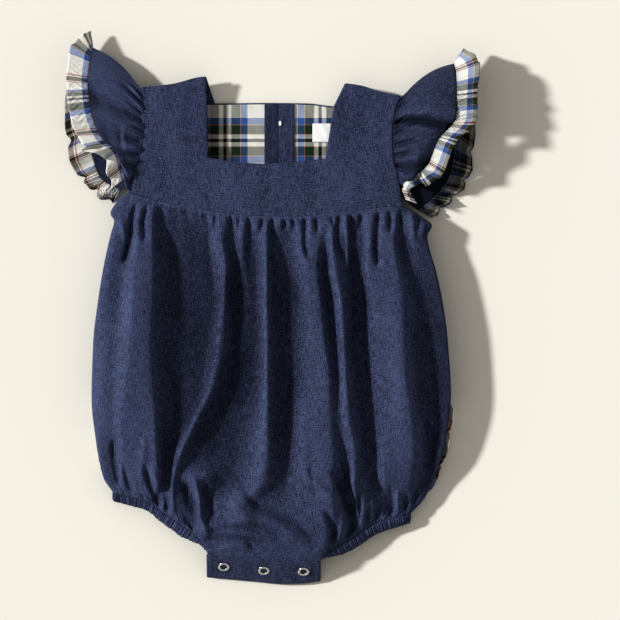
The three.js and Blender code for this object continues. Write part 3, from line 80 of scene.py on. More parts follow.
FOLD_LINES = [  # what it is, x at each station, height at each station
    ("left edge", [-144, -144, -147, -150.5, -154, -155.5, -154, -149, -142.5, -124, -124],
     [0, 0, 0, 0, 0, 0, 0, 0, 0, 0, 0]),
    ("left edge trough", [-115, -115, -122, -124, -130.5, -130.5, -130.5, -128, -125.5, -116.5, -116.5],
     [-1.6, -4, -6, -6, -3, -1.5, -1, -3.5, -3.5, -2, -0.8]),
    ("left bulge", [-109, -109, -110, -112.5, -114, -117.5, -121.5, -120.5, -119.5, -111.5, -111.5],
     [0.8, 2, 2.5, 2.8, 3.2, 2.8, 2.8, 1.5, 1, 0, 0]),
    ("shoulder of the left bulge", [-97.5, -97.5, -97.5, -97.5, -100, -98.5, -96, -94.5, -92.5, -100, -100],
     [0.8, 2, 0.5, 0, 0.5, 0, 0.5, 1.5, 1.5, 1, 0.4]),
    ("wide hollow, left", [-91, -91, -88.5, -90, -87.5, -86, -84.5, -86, -87, -92.5, -92.5],
     [-7.2, -9, -10, -10.5, -11, -12, -13, -12, -10, -6, -2.4]),
    ("wide hollow, right", [-62.5, -62.5, -55, -48.5, -52.5, -56.5, -66.5, -80.5, -83, -86, -86],
     [-13.6, -17, -21, -23, -23, -22, -18, -13, -10, -5, -2]),
    ("diagonal ridge", [-41, -41, -37.5, -38.5, -42, -47.5, -62.5, -75.5, -80.5, -80.5, -80.5],
     [-0.8, -2, -4.5, -8, -9, -8, -5, -3, -3, -1, -0.4]),
    ("its trough", [-31, -31, -31, -31, -27, -34.5, -51, -67, -73, -64, -64],
     [-4, -10, -15, -18, -19, -19, -16, -12, -8, -9, -3.6]),
    ("middle swell", [-24.5, -24.5, -23, -17, -14, -15.5, -32, -46, -64, -59, -59],
     [-1.6, -4, -12, -19, -21.5, -23, -21, -20, -6, -2, -0.8]),
    ("middle trough", [-15.5, -15.5, -13, -12.5, -10, -12.5, -19.5, -29.5, -36, -51, -51],
     [-3.6, -9, -16.5, -19.5, -20.5, -21, -19, -19, -18, -8, -3.2]),
    ("centre ridge", [-4, -4, -4, -4, -3.5, -3.5, -3.5, -4, -8, -23, -23],
     [-0.4, -1, -1, -2.5, -2.5, -2.5, -2.5, -2.5, -2.5, -2, -0.8]),
    ("centre trough, left", [2.5, 2.5, 2.5, 3.5, 5, 5.5, 6.5, 7.5, 7.5, -10, -10],
     [-3.6, -9, -12, -14, -15, -15, -14, -12, -10, -6, -2.4]),
    ("centre trough, right", [15, 15, 16.5, 21.5, 19.5, 16.5, 16.5, 14, 13, 10, 10],
     [-4, -10, -13, -16, -16, -16.5, -16, -14, -12, -7, -2.8]),
    ("broad ridge, left", [26, 26, 29.5, 32, 34.5, 36, 29.5, 28.5, 28.5, 30.5, 30.5],
     [-0.8, -2, -3, -4.5, -5.5, -6.5, -5, -4.5, -4, -4, -1.6]),
    ("broad ridge, right", [37.5, 37.5, 36, 38.5, 42, 46.5, 46.5, 49, 49, 48.5, 48.5],
     [-0.6, -1.5, -3.5, -4, -4, -3.5, -2, -1.5, -1, 0, 0]),
    ("narrow trough", [44.5, 44.5, 44.5, 48.5, 51.5, 54, 56.5, 60, 62.5, 67, 67],
     [-1.6, -4, -12, -13.5, -12.5, -9.5, -6, -8, -12, -9, -3.6]),
    ("crisp ridge", [50, 50, 51, 56.5, 59, 60.5, 63, 68, 68, 71.5, 71.5],
     [0, 0, -1, -1.5, -1.5, -1.5, -1, -1.5, -1.5, -3, -1.2]),
    ("deep trough, left", [69, 69, 69.5, 69, 69.5, 73, 77, 79.5, 83.5, 92, 92],
     [-4.8, -12, -16, -16, -15.5, -14.5, -13.5, -12.5, -11, -7, -2.8]),
    ("deep trough, right", [73, 73, 73, 75.5, 74.5, 77, 80.5, 81, 86, 97, 97],
     [-4.8, -12, -16, -16.5, -15.5, -14.5, -13.5, -12.5, -10, -8, -3.2]),
    ("right bulge, left", [79.5, 79.5, 78.5, 84.5, 88.5, 92, 93.5, 93.5, 92.5, 101.5, 101.5],
     [-0.8, -2, -3, -4, -4.5, -5, -5, -4, -3, -3, -1.2]),
    ("right bulge, right", [98.5, 98.5, 101, 105, 106.5, 109, 113, 115, 111.5, 106.5, 106.5],
     [-0.4, -1, -2, -1.5, 0, 1, 1, 1, -1, -1, -0.4]),
    ("right side, upper", [108, 108, 112.5, 119, 119.5, 121.5, 127, 129.5, 129.5, 113, 113],
     [-3.6, -9, -10.5, -10.5, -11, -11, -11, -11, -9, -4, -1.6]),
    ("right side, lower", [117.5, 117.5, 126.5, 133.5, 137, 138.5, 139.5, 139.5, 138, 120.5, 120.5],
     [-1.6, -4, -11, -15, -16, -16, -15, -11, -7, -2, -0.8]),
    ("right edge", [138, 138, 142.5, 146.5, 150.5, 150.5, 150.5, 150.5, 144.5, 131.5, 131.5],
     [-1.6, -4, -10, -15, -17, -17, -15, -10, -5, 0, 0]),
]
# height, width to the left and right of the path as one goes down it, sharpness, path
CREASES = [
    (-4.7, 2.4, 2, 1.8, [(-111, 82.5), (-113.5, 71), (-116, 53), (-119.5, 36.5)]),
    (-4.4, 2.4, 2.2, 1.8, [(-102, 81), (-104.5, 69.5), (-103.5, 54.5)]),
    (-3.4, 2.8, 2.8, 1.8, [(-90, 78.5), (-91.5, 66)]),
    (-3.9, 2.4, 2.4, 1.8, [(-80, 76.5), (-79, 62.5)]),
    (-4.2, 2.2, 2.2, 1.8, [(-70, 76), (-70, 61)]),
    (2.9, 2.4, 2.4, 1.8, [(-65, 75), (-61, 50.5), (-61, 20)]),
    (-5.7, 2.2, 2.2, 1.8, [(-53.5, 74), (-53, 54.5), (-52, 25)]),
    (-3.1, 1.7, 1.7, 1.8, [(-45.5, 74), (-46.5, 62.5)]),
    (-4.7, 2, 2.2, 1.8, [(-33, 73.5), (-32.5, 59.5)]),
    (-2.6, 1.7, 1.7, 1.8, [(-26.5, 72.5), (-26.5, 64.5)]),
    (-4.4, 2, 2, 1.8, [(-18.5, 72.5), (-17, 58)]),
    (-4.2, 1.8, 2, 1.8, [(-7, 72), (-8.5, 61)]),
    (-4.7, 2.2, 2.4, 1.8, [(1, 72), (0.5, 58)]),
    (-4.4, 2, 2.2, 1.8, [(11, 72), (12, 53)]),
    (-2.9, 1.7, 1.7, 1.8, [(17.5, 72), (18.5, 62.5)]),
    (-4.4, 2.2, 2.4, 1.8, [(27.5, 72), (27.5, 51), (30, 41.5)]),
    (-4.4, 2, 2, 1.8, [(36.5, 72.5), (37.5, 61)]),
    (-2.6, 1.7, 1.7, 1.8, [(49.5, 73.5), (50.5, 66)]),
    (-5.2, 2.4, 2.2, 1.8, [(55.5, 73.5), (53.5, 54.5), (57, 40)]),
    (4.4, 2, 2.2, 1.8, [(61, 73.5), (62.5, 54.5), (62.5, 31.5)]),
    (-5.5, 1.8, 2, 1.8, [(65, 74), (67, 56)]),
    (-3.9, 2, 2, 1.8, [(74, 74), (72.5, 64.5)]),
    (-5.5, 2.4, 2.4, 1.8, [(87.5, 75), (85.5, 54.5), (86.5, 35)]),
    (-4.4, 2, 2, 1.8, [(97, 76), (97, 62.5)]),
    (-4.7, 2.4, 2.4, 1.8, [(106, 76.5), (106, 61)]),
    (2.6, 2.2, 2.2, 1.8, [(114.5, 77.5), (116, 54.5)]),
    (-3.4, 2.2, 2.2, 1.8, [(126, 78.5), (126.5, 54.5)]),
    (-3.2, 2.4, 2.2, 1.7, [(-129, -109.5), (-128.5, -124), (-125, -144)]),
    (-3, 2.4, 2.4, 1.7, [(-121, -127.5), (-117.5, -142.5), (-113.5, -152)]),
    (2, 2.2, 2.2, 1.8, [(-123.5, -132.5), (-122, -149)]),
    (1.8, 3.2, 3.4, 1.9, [(-103.5, -109.5), (-105.5, -142.5)]),
    (-5, 2.8, 2.4, 1.7, [(-103, -131), (-99.5, -144), (-94.5, -158.5), (-95.5, -170)]),
    (3, 2.6, 2.6, 1.8, [(-96.5, -134), (-93, -145.5), (-88, -158.5), (-90, -168.5)]),
    (-3.2, 2.2, 2.2, 1.7, [(-85.5, -154), (-85, -163.5), (-87.5, -172)]),
    (2.6, 2.4, 2.4, 1.8, [(-81, -142.5), (-81.5, -163.5), (-83, -175)]),
    (-6, 3.4, 2.4, 1.7, [(-70, -145.5), (-66, -162), (-67.5, -176.5), (-63.5, -185)]),
    (3.6, 2.4, 3, 1.8, [(-62.5, -140.5), (-58.5, -158.5), (-58, -170), (-52, -185)]),
    (-3.8, 3, 3.4, 1.8, [(-53.5, -144), (-51, -160.5), (-47, -172)]),
    (-1.8, 2, 2, 1.7, [(-72.5, -173.5), (-71, -183.5)]),
    (-3.4, 3.4, 3.6, 1.8, [(-27.5, -139), (-22.5, -147), (-12.5, -161), (4.5, -168.5), (25, -180),
                           (35.5, -190)]),
    (2.2, 4.5, 4.5, 1.9, [(-32.5, -158.5), (-21, -171), (0.5, -176.5), (21.5, -190)]),
    (-2.6, 3.2, 3.4, 1.8, [(-39, -175), (-26, -181), (-6, -181.5), (8.5, -186.5)]),
    (2, 3, 3.2, 1.9, [(-57, -181), (-36.5, -176.5), (-16, -175)]),
    (-2.6, 2.8, 3, 1.8, [(-57, -194), (-47, -190), (-21, -190), (-6, -192.5)]),
    (1.8, 2.6, 2.8, 1.9, [(-39, -197), (-19.5, -195.5)]),
    (-2.4, 2.4, 2.6, 1.8, [(-18.5, -192.5), (-13.5, -198)]),
    (-2.2, 2.2, 2.2, 1.7, [(31.5, -131), (34, -142.5), (36.5, -152)]),
    (3, 3.6, 3.2, 1.8, [(30, -137.5), (38, -147), (51, -155.5)]),
    (-4.4, 3, 2.6, 1.7, [(51, -135.5), (58, -152), (62.5, -168.5)]),
    (2.8, 2, 2, 1.8, [(66, -140.5), (68.5, -158.5), (69.5, -172)]),
    (-4.2, 2, 2, 1.7, [(71, -152), (72, -167)]),
    (-6, 3, 2.6, 1.7, [(45.5, -169.5), (49.5, -178.5), (50.5, -191.5)]),
    (3.6, 3, 2.6, 1.8, [(58, -163.5), (58.5, -178.5), (54.5, -193)]),
    (-6.5, 2.6, 2.2, 1.7, [(64.5, -163.5), (66, -178.5), (61, -191.5)]),
    (2.2, 1.6, 1.6, 1.8, [(76, -160.5), (74, -180)]),
    (-2.4, 1.5, 1.5, 1.7, [(79, -168.5), (77.5, -183.5)]),
    (2.2, 1.8, 1.8, 1.8, [(83, -158.5), (81.5, -180)]),
    (-2.4, 1.6, 1.6, 1.7, [(87.5, -165), (85, -181.5)]),
    (1.8, 1.6, 1.6, 1.8, [(92, -162), (90, -178.5)]),
    (-5, 2.2, 2.2, 1.7, [(97, -150.5), (99, -163.5), (97, -175)]),
    (2.8, 1.8, 1.8, 1.8, [(103, -152), (103, -168.5)]),
    (-3.6, 2, 2, 1.7, [(109.5, -154), (108.5, -167)]),
    (1.8, 1.8, 1.8, 1.8, [(114.5, -152), (113, -165)]),
    (-2.6, 1.8, 1.8, 1.7, [(118.5, -149), (117.5, -162)]),
    (-3, 2.6, 3.2, 1.7, [(128.5, -96.5), (131.5, -119.5), (129, -142.5)]),
    (3.4, 2.8, 2.4, 1.8, [(-122.5, 69.5), (-119.5, 58)]),
    (-2.9, 1.8, 1.8, 1.7, [(122, 74), (118.5, 62.5)]),
    (3.1, 2.4, 2.2, 1.8, [(126.5, 69.5), (123.5, 58)]),
    (-2.2, 2.2, 2.2, 1.7, [(110.5, 56), (117, 44.5)]),
]
CREASE_ENDS = 9
FINE_GATHERS, FINE_GATHER_HEIGHT, FINE_GATHER_LENGTH = 57, 0.6, 5
HEM_GATHER_PITCH, HEM_GATHER_HEIGHT, HEM_GATHER_LENGTH = 4.4, 1.1, 6
TAB_MIDDLE, TAB_REACH, TAB_REACH_EASE = -6.5, 46, 6
FRONT_CUT = (0.34, 0.30)
# Marks on the front: lighter on the ridges and darker in the troughs, partly real fading of the denim and
# partly painted shade in the hollows; painted shade along the right side, which faces away from the light,
# and over the middle just above the tab.
MEAN_FOLD, WEAR_AND_SHADE_BY_FOLD, WEAR_AND_SHADE_BY_CREASE, WEAR_AND_SHADE_RANGE = -6, 0.026, 0.04, (-0.42, 0.15)
PAINTED_SHADE_AT_SIDE, PAINTED_SHADE_ABOVE_TAB = 0.3, 0.1
RIM_REACH = 0.35


def mix(a, b, t):
    return a + (b - a) * t


def ease(t):
    t = np.clip(t, 0, 1)
    return t * t * (3 - 2 * t)


def unit(vectors):
    """The vectors divided by their own lengths."""
    return vectors / np.maximum(np.linalg.norm(vectors, axis=-1, keepdims=True), 1e-9)


def smooth_through(at, value, x):
    """The value at x on a smooth line that never overshoots its rows: the slope at a row is the
    harmonic mean of the slopes beside it, or level where those differ in sign. at and value have
    the rows first, and may have a place each for every x."""
    slopes = np.diff(value, axis=0) / np.diff(at, axis=0)
    product = slopes[:-1] * slopes[1:]
    total = np.where(product > 0, slopes[:-1] + slopes[1:], 1)
    tangents = np.concatenate([slopes[:1], np.where(product > 0, 2 * product / total, 0), slopes[-1:]])
    x = np.clip(x, at[0], at[-1])
    i = np.clip((at <= x).sum(axis=0) - 1, 0, len(at) - 2)

    def row(table, index):
        return np.take_along_axis(np.broadcast_to(table, (len(table), *x.shape)), index[None], 0)[0]

    step = row(at, i + 1) - row(at, i)
    t = (x - row(at, i)) / step
    lead = t * (1 - t) ** 2 * step * row(tangents, i)
    trail = t * t * (t - 1) * step * row(tangents, i + 1)
    return mix(row(value, i), row(value, i + 1), t * t * (3 - 2 * t)) + lead + trail


def smooth_line(pairs):
    """The smooth line through pairs of (place, value), as a function."""
    at, value = np.array(sorted(pairs), float).T

    def read(x):
        x = np.asarray(x, float)
        column = (-1,) + (1,) * x.ndim
        return smooth_through(at.reshape(column), value.reshape(column), x)

    return read


side_left = smooth_line(SIDE_LEFT)
side_right = smooth_line(SIDE_RIGHT)
side_height = smooth_line(SIDE_HEIGHT)
chest_height = smooth_line(CHEST_HEIGHT)
yoke_seam = smooth_line(YOKE_SEAM)
crown = smooth_line(CROWN)
edge_y, edge_out_x, edge_out_y, edge_z = (
    smooth_line([(row[0], row[k]) for row in LOWER_EDGE]) for k in (1, 2, 3, 4)
)
LEFT_TOP, LEFT_FOOT = SIDE_LEFT[0][0], SIDE_LEFT[-1][0]
RIGHT_TOP, RIGHT_FOOT = SIDE_RIGHT[0][0], SIDE_RIGHT[-1][0]
SEAM_LEFT, SEAM_RIGHT = YOKE_SEAM[0][0], YOKE_SEAM[-1][0]
FOOT_LEFT, FOOT_RIGHT = LOWER_EDGE[0][0], LOWER_EDGE[-1][0]


def across(g, v, round_width):
    """Places across the body: g from -1 at the left side seam to 1 at the right one, v from 0 at
    the yoke seam to 1 at the lower edge. Past ROUND_FROM the cloth turns a quarter of an ellipse."""
    y_left, y_right = mix(LEFT_TOP, LEFT_FOOT, v), mix(RIGHT_TOP, RIGHT_FOOT, v)
    left, right = side_left(y_left), side_right(y_right)
    half = (right - left) / 2
    turn = np.maximum(0, (np.abs(g) - ROUND_FROM) / (1 - ROUND_FROM)) * math.pi / 2
    flat = np.minimum(np.abs(g) / ROUND_FROM, 1) * (half - round_width)
    w = np.sign(g) * (flat + round_width * np.sin(turn)) / half
    foot_x = mix(FOOT_LEFT, FOOT_RIGHT, (w + 1) / 2)
    top = yoke_seam(mix(SEAM_LEFT, SEAM_RIGHT, (w + 1) / 2))
    return {
        "x": (left + right) / 2 + w * half, "y": mix(top, edge_y(foot_x), v), "w": w, "turn": turn,
        "side": np.where(g < 0, side_height(y_left), side_height(y_right)), "top": top, "foot_x": foot_x,
    }


def rounded_path(points, steps=5):
    """The path as a smooth curve through its points, each stretch parted into equal steps."""
    if len(points) < 3:
        return points
    p = np.array([points[0], *points, points[-1]], float)
    t = (np.arange(steps) / steps)[:, None]
    curve = [
        0.5 * (2 * b + (c - a) * t + (2 * a - 5 * b + 4 * c - d) * t**2 + (3 * b - a - 3 * c + d) * t**3)
        for a, b, c, d in zip(p[:-3], p[1:-2], p[2:-1], p[3:])
    ]
    return [tuple(q) for q in np.vstack([*curve, p[-1:]])]


def fold_height(x, y):
    """The height of the large folds: at each y the crests and troughs have their own places and
    heights, read down the body's stations, and a smooth line goes through them from side to side."""
    stations = [-station for station in FOLD_STATIONS]
    down = -np.clip(y, FOLD_STATIONS[-1], FOLD_STATIONS[0])
    places = np.stack([smooth_line(list(zip(stations, xs)))(down) for _, xs, _ in FOLD_LINES])
    heights = np.stack([smooth_line(list(zip(stations, zs)))(down) for _, _, zs in FOLD_LINES])
    return smooth_through(places, heights, x)


def crease_height(x, y):
    """The height of the creases: each is a bell, exp(-(gap / width) ** sharpness), across its path,
    with its own width to each side, and fades over its last stretch at both ends."""
    total = np.zeros(np.shape(x))
    for height, left, right, sharpness, path in CREASES:
        best = np.full(np.shape(x), np.inf)
        on_left = np.zeros(np.shape(x), bool)
        passed = np.zeros(np.shape(x))
        before = 0
        points = rounded_path(path)
        for (ax, ay), (bx, by) in zip(points[:-1], points[1:]):
            length = math.hypot(bx - ax, by - ay)
            near = np.clip(((x - ax) * (bx - ax) + (y - ay) * (by - ay)) / length**2, 0, 1)
            off_x, off_y = x - mix(ax, bx, near), y - mix(ay, by, near)
            gap = np.hypot(off_x, off_y)
            closer = gap < best
            best = np.where(closer, gap, best)
            on_left = np.where(closer, (bx - ax) * off_y - (by - ay) * off_x > 0, on_left)
            passed = np.where(closer, before + near * length, passed)
            before += length
        bell = np.exp(-((best / np.where(on_left, left, right)) ** sharpness))
        fade = ease(passed / CREASE_ENDS + 0.5) * ease((before - passed) / CREASE_ENDS + 0.5)
        total += height * bell * fade
    return total


def fine_gathers(x, below):
    """The finest waves along the yoke seam, between the creases, uneven in place and length."""
    phase = (x - SEAM_LEFT) / (SEAM_RIGHT - SEAM_LEFT) * FINE_GATHERS
    uneven = 0.4 * np.sin(phase * 0.9 + 2) + 0.3 * np.sin(phase * 2.1)
    length = FINE_GATHER_LENGTH * (1 + 0.5 * np.sin(phase * 1.3 + 1))
    return FINE_GATHER_HEIGHT * np.sin(2 * math.pi * (phase + uneven)) * np.exp(-below / length)


def hem_gathers(foot_x, above):
    """The short gathers over both leg casings, uneven in place and length, none over the tab."""
    phase = foot_x / HEM_GATHER_PITCH
    uneven = 0.45 * np.sin(phase * 0.83 + 1) + 0.3 * np.sin(phase * 2.3)
    length = HEM_GATHER_LENGTH * (1 + 0.5 * np.sin(phase * 1.13 + 2) + 0.3 * np.sin(phase * 0.37))
    waves = HEM_GATHER_HEIGHT * np.sin(2 * math.pi * (phase + uneven)) * np.exp(-above / length)
    return waves * ease((np.abs(foot_x - TAB_MIDDLE) - TAB_REACH) / TAB_REACH_EASE)


def held_over(lift, z):
    """A fold's depth, held softly to the room that the front has over the body's hollow."""
    room = np.maximum(z - HOLLOW_TOP, EDGE_ROOM)
    near = np.maximum(HOLLOW_SOFTNESS - np.abs(-lift - room), 0) / HOLLOW_SOFTNESS
    return -(np.minimum(-lift, room) - near**2 * HOLLOW_SOFTNESS / 4)


def front_widths(v, g):
    """How wide the front rounds off at a side: a share of its rise there, within two limits."""
    y = np.where(g < 0, mix(LEFT_TOP, LEFT_FOOT, v), mix(RIGHT_TOP, RIGHT_FOOT, v))
    foot = np.where(g < 0, edge_z(FOOT_LEFT), edge_z(FOOT_RIGHT))
    height = mix(chest_height(YOKE_SEAM_MEAN), foot, v) + crown(v) - side_height(y)
    return np.clip((1 - CROWN_FALL) * height * ROUND_SHARE, ROUND_LEAST, ROUND_MOST)


def front_base(g, v):
    """The front without folds: a crown over the side seams that falls with the square of the
    distance from the middle, and rounds off at the sides."""
    a = across(g, v, front_widths(v, g))
    full = mix(chest_height(a["top"]), edge_z(a["foot_x"]), v) + crown(v) - a["side"]
    rounded = (1 - CROWN_FALL) * full * (1 - np.cos(a["turn"]))
    return {**a, "z": a["side"] + full * (1 - CROWN_FALL * a["w"] ** 2) - rounded}


def new_piece(name, mesh, material):
    """The object of a mesh, in one material, that moves with the whole part."""
    mesh.materials.append(material)
    piece = bpy.data.objects.new(name, mesh)
    bpy.context.collection.objects.link(piece)
    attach(piece, "root")
    return piece


def cloth_shell(name, material, outer, facing, wall, uv, painted_light_and_wear=0, keep=None):
    """One closed cloth wall. outer is a grid of points (rows, columns, 3) in millimetres, facing
    the unit directions that it looks in, and wall its thickness, one number or one a point. The
    inside is the outside moved back by the wall, and every free edge is rounded by a ring of
    points half a wall in and a little outwards. painted_light_and_wear is the mark that lightens
    or darkens the material: painted light and shade, with some real wear on the denim."""
    rows, columns = outer.shape[:2]
    number = np.arange(rows * columns).reshape(rows, columns)
    cells = np.stack([number[:-1, :-1], number[1:, :-1], number[1:, 1:], number[:-1, 1:]], -1)
    cells = cells.reshape(-1, 4) if keep is None else cells[keep]
    points, out = outer.reshape(-1, 3), facing.reshape(-1, 3)
    thick = np.broadcast_to(wall, (rows, columns)).reshape(-1, 1)
    middle = cells[len(cells) // 2]
    normal = np.cross(points[middle[2]] - points[middle[0]], points[middle[3]] - points[middle[1]])
    if normal @ out[middle[0]] < 0:
        cells = cells[:, ::-1]
    count = rows * columns
    start, end = cells.ravel(), np.roll(cells, -1, axis=1).ravel()
    free = ~np.isin(start * count + end, end * count + start)
    start, end = start[free], end[free]
    outward = unit(np.cross(points[end] - points[start], out[start]))
    push = np.zeros((count, 3))
    np.add.at(push, start, outward)
    np.add.at(push, end, outward)
    rim = np.unique(start)
    ring = points[rim] - out[rim] * thick[rim] / 2 + unit(push[rim]) * thick[rim] * RIM_REACH
    on_ring = np.zeros(count, int)
    on_ring[rim] = 2 * count + np.arange(len(rim))
    quads = np.vstack([
        cells,
        cells[:, ::-1] + count,
        np.stack([end, start, on_ring[start], on_ring[end]], -1),
        np.stack([on_ring[end], on_ring[start], start + count, end + count], -1),
    ])
    spots = np.vstack([points, points - out * thick, ring])
    flat_uv = uv.reshape(-1, 2)
    spot_uv = np.vstack([flat_uv, flat_uv, flat_uv[rim]])
    used, quads = np.unique(quads, return_inverse=True)
    quads = quads.reshape(-1, 4)
    mesh = bpy.data.meshes.new(name)
    mesh.vertices.add(len(used))
    mesh.vertices.foreach_set("co", (spots[used] * MM).ravel())
    mesh.loops.add(quads.size)
    mesh.loops.foreach_set("vertex_index", quads.ravel())
    mesh.polygons.add(len(quads))
    mesh.polygons.foreach_set("loop_start", np.arange(0, quads.size, 4))
    mesh.polygons.foreach_set("use_smooth", np.ones(len(quads), bool))
    mesh.update(calc_edges=True)
    layer = mesh.uv_layers.new(name="cloth")
    layer.uv.foreach_set("vector", spot_uv[used][quads.ravel()].ravel())
    # The mark of painted light and shade, with some wear, is stored on every point.
    flat = np.broadcast_to(np.asarray(painted_light_and_wear, float), (rows, columns)).ravel()
    painted_light_and_wear_points = np.concatenate([flat, flat, flat[rim]])[used]
    mesh.attributes.new("painted_light_and_wear", "FLOAT", "POINT").data.foreach_set("value", painted_light_and_wear_points)
    mesh.validate()
    return new_piece(name, mesh, material)


def empty_group(group_name, inputs, outputs):
    """An empty node group with the given named inputs and outputs."""
    group = bpy.data.node_groups.new(group_name, "ShaderNodeTree")
    for label, kind, value in inputs:
        socket = group.interface.new_socket(label, in_out="INPUT", socket_type=kind)
        if value is not None:
            socket.default_value = value
    for label, kind in outputs:
        group.interface.new_socket(label, in_out="OUTPUT", socket_type=kind)
    return group, group.nodes.new("NodeGroupInput"), group.nodes.new("NodeGroupOutput")


def maths(tree, operation, a, b=None, clamp=False):
    """One Math node; a and b are sockets or numbers. Gives back its output."""
    node = tree.nodes.new("ShaderNodeMath")
    node.operation = operation
    node.use_clamp = clamp
    for socket, value in zip(node.inputs, (a, b)):
        if hasattr(value, "is_output"):
            tree.links.new(value, socket)
        elif value is not None:
            socket.default_value = value
    return node.outputs[0]


def centred(tree, value, width):
    """(value - 0.5) * width."""
    return maths(tree, "MULTIPLY", maths(tree, "SUBTRACT", value, 0.5), width)


def linear(tree, value, slope, start):
    """value * slope + start."""
    return maths(tree, "ADD", maths(tree, "MULTIPLY", value, slope), start)


def noise(tree, vector, scale, detail, roughness):
    """Noise between about 0 and 1 on a vector stretched by the three numbers of scale."""
    stretch = tree.nodes.new("ShaderNodeMapping")
    stretch.inputs["Scale"].default_value = scale
    tree.links.new(vector, stretch.inputs["Vector"])
    node = tree.nodes.new("ShaderNodeTexNoise")
    node.inputs["Scale"].default_value = 1
    node.inputs["Detail"].default_value = detail
    node.inputs["Roughness"].default_value = roughness
    tree.links.new(stretch.outputs["Vector"], node.inputs["Vector"])
    return node.outputs["Fac"]


def blend(tree, factor, a, b, kind="MIX"):
    """One Mix node for colours; each of its three inputs is a socket or a value."""
    node = tree.nodes.new("ShaderNodeMix")
    node.data_type = "RGBA"
    node.blend_type = kind
    for index, value in ((0, factor), (6, a), (7, b)):
        if hasattr(value, "is_output"):
            tree.links.new(value, node.inputs[index])
        else:
            node.inputs[index].default_value = value
    return node.outputs[2]


def new_node(tree, kind, output=None, **settings):
    """A node with its own settings; gives back the node, or the output asked for."""
    node = tree.nodes.new(kind)
    for setting, value in settings.items():
        setattr(node, setting, value)
    return node.outputs[output] if output else node


def surface(name, looks):
    """A material whose surface shader takes the looks given; it, its node tree and its shader."""
    material = bpy.data.materials.new(name)
    material.use_nodes = True
    shader = material.node_tree.nodes["Principled BSDF"]
    for label, value in looks.items():
        shader.inputs[label].default_value = value
    return material, material.node_tree, shader


def add_bump(tree, shader, height, distance, strength):
    """Relief from a height: distance is in metres, strength from 0 to 1."""
    bump = tree.nodes.new("ShaderNodeBump")
    bump.inputs["Distance"].default_value = distance
    bump.inputs["Strength"].default_value = strength
    tree.links.new(height, bump.inputs["Height"])
    tree.links.new(bump.outputs["Normal"], shader.inputs["Normal"])


# Threads of the denim: how often they change along x, y and z in a metre, detail and roughness
DENIM_THREADS = [
    ((900, 150, 1), 3, 0.6), ((1500, 1000, 1), 3, 0.7), ((90, 24, 1), 2, 0.5), ((130, 1000, 1), 2, 0.5),
]
DENIM_WEIGHTS = (2.0, 5.0, 0.5, 0.9, 0.14)
DENIM_CONTRAST, DENIM_MIDDLE = 0.84, 0.425
TWILL_SCALE, TWILL_DISTORTION, TWILL_RELIEF, WEFT_RELIEF = 330, 1.2, 0.35, 0.3


def make_denim_weave():
    """Slub denim on cloth coordinates in metres: long thick and thin warp threads, fainter weft
    threads, the diagonal lines of the twill, and a mark of painted light and shade, with some
    wear, added to the shade of the threads."""
    group, given, result = empty_group(
        "Denim weave",
        [("Cloth", "NodeSocketVector", None), ("Dark", "NodeSocketColor", (0.02, 0.025, 0.06, 1)),
         ("Light", "NodeSocketColor", (0.07, 0.085, 0.17, 1)), ("Painted light and wear", "NodeSocketFloat", 0.0)],
        [("Colour", "NodeSocketColor"), ("Height", "NodeSocketFloat")],
    )
    cloth = given.outputs["Cloth"]
    slub, hair, patch, weft = (noise(group, cloth, *thread) for thread in DENIM_THREADS)
    twill = new_node(group, "ShaderNodeTexWave", bands_direction="DIAGONAL")
    twill.inputs["Scale"].default_value = TWILL_SCALE
    twill.inputs["Distortion"].default_value = TWILL_DISTORTION
    group.links.new(cloth, twill.inputs["Vector"])
    lines = twill.outputs["Fac"]
    shade = 0.0
    for part, weight in zip((slub, hair, patch, weft, lines), DENIM_WEIGHTS):
        shade = maths(group, "ADD", shade, centred(group, part, weight))
    shade = linear(group, shade, DENIM_CONTRAST, DENIM_MIDDLE)
    # The mark adds painted light and shade, with some wear, to the shade of the threads.
    shade = maths(group, "ADD", shade, given.outputs["Painted light and wear"], clamp=True)
    colour = blend(group, shade, given.outputs["Dark"], given.outputs["Light"])
    group.links.new(colour, result.inputs["Colour"])
    height = maths(group, "MULTIPLY", maths(group, "ADD", slub, hair), 0.5)
    for part, relief in ((lines, TWILL_RELIEF), (weft, WEFT_RELIEF)):
        height = maths(group, "ADD", height, maths(group, "MULTIPLY", part, relief))
    group.links.new(height, result.inputs["Height"])
    return group


denim_weave = make_denim_weave()


def denim_material(name, dark, light):
    """Denim for a piece whose UV map holds metres of cloth; its mark of painted light and wear lightens or
    darkens it: painted light and shade, with some real wear.
    """
    material, tree, shader = surface(name, {
        "Roughness": 0.88, "Specular IOR Level": 0.25, "Sheen Weight": 0.06, "Sheen Roughness": 0.45,
        "Sheen Tint": (0.6, 0.68, 1.0, 1),
    })
    weave = new_node(tree, "ShaderNodeGroup", node_tree=denim_weave)
    weave.inputs["Dark"].default_value = (*dark, 1)
    weave.inputs["Light"].default_value = (*light, 1)
    tree.links.new(new_node(tree, "ShaderNodeUVMap", "UV", uv_map="cloth"), weave.inputs["Cloth"])
    tree.links.new(new_node(tree, "ShaderNodeAttribute", "Fac", attribute_name="painted_light_and_wear"), weave.inputs["Painted light and wear"])
    tree.links.new(weave.outputs["Colour"], shader.inputs["Base Color"])
    add_bump(tree, shader, weave.outputs["Height"], distance=0.00025, strength=0.7)
    return material


denim = denim_material("Indigo denim", (0.009, 0.012, 0.028), (0.095, 0.118, 0.225))


def spread(*stretches):
    """One increasing row of numbers from stretches of (from, to, steps)."""
    parts = [np.linspace(a, b, steps, endpoint=False) for a, b, steps in stretches]
    return np.concatenate([*parts, [stretches[-1][1]]])


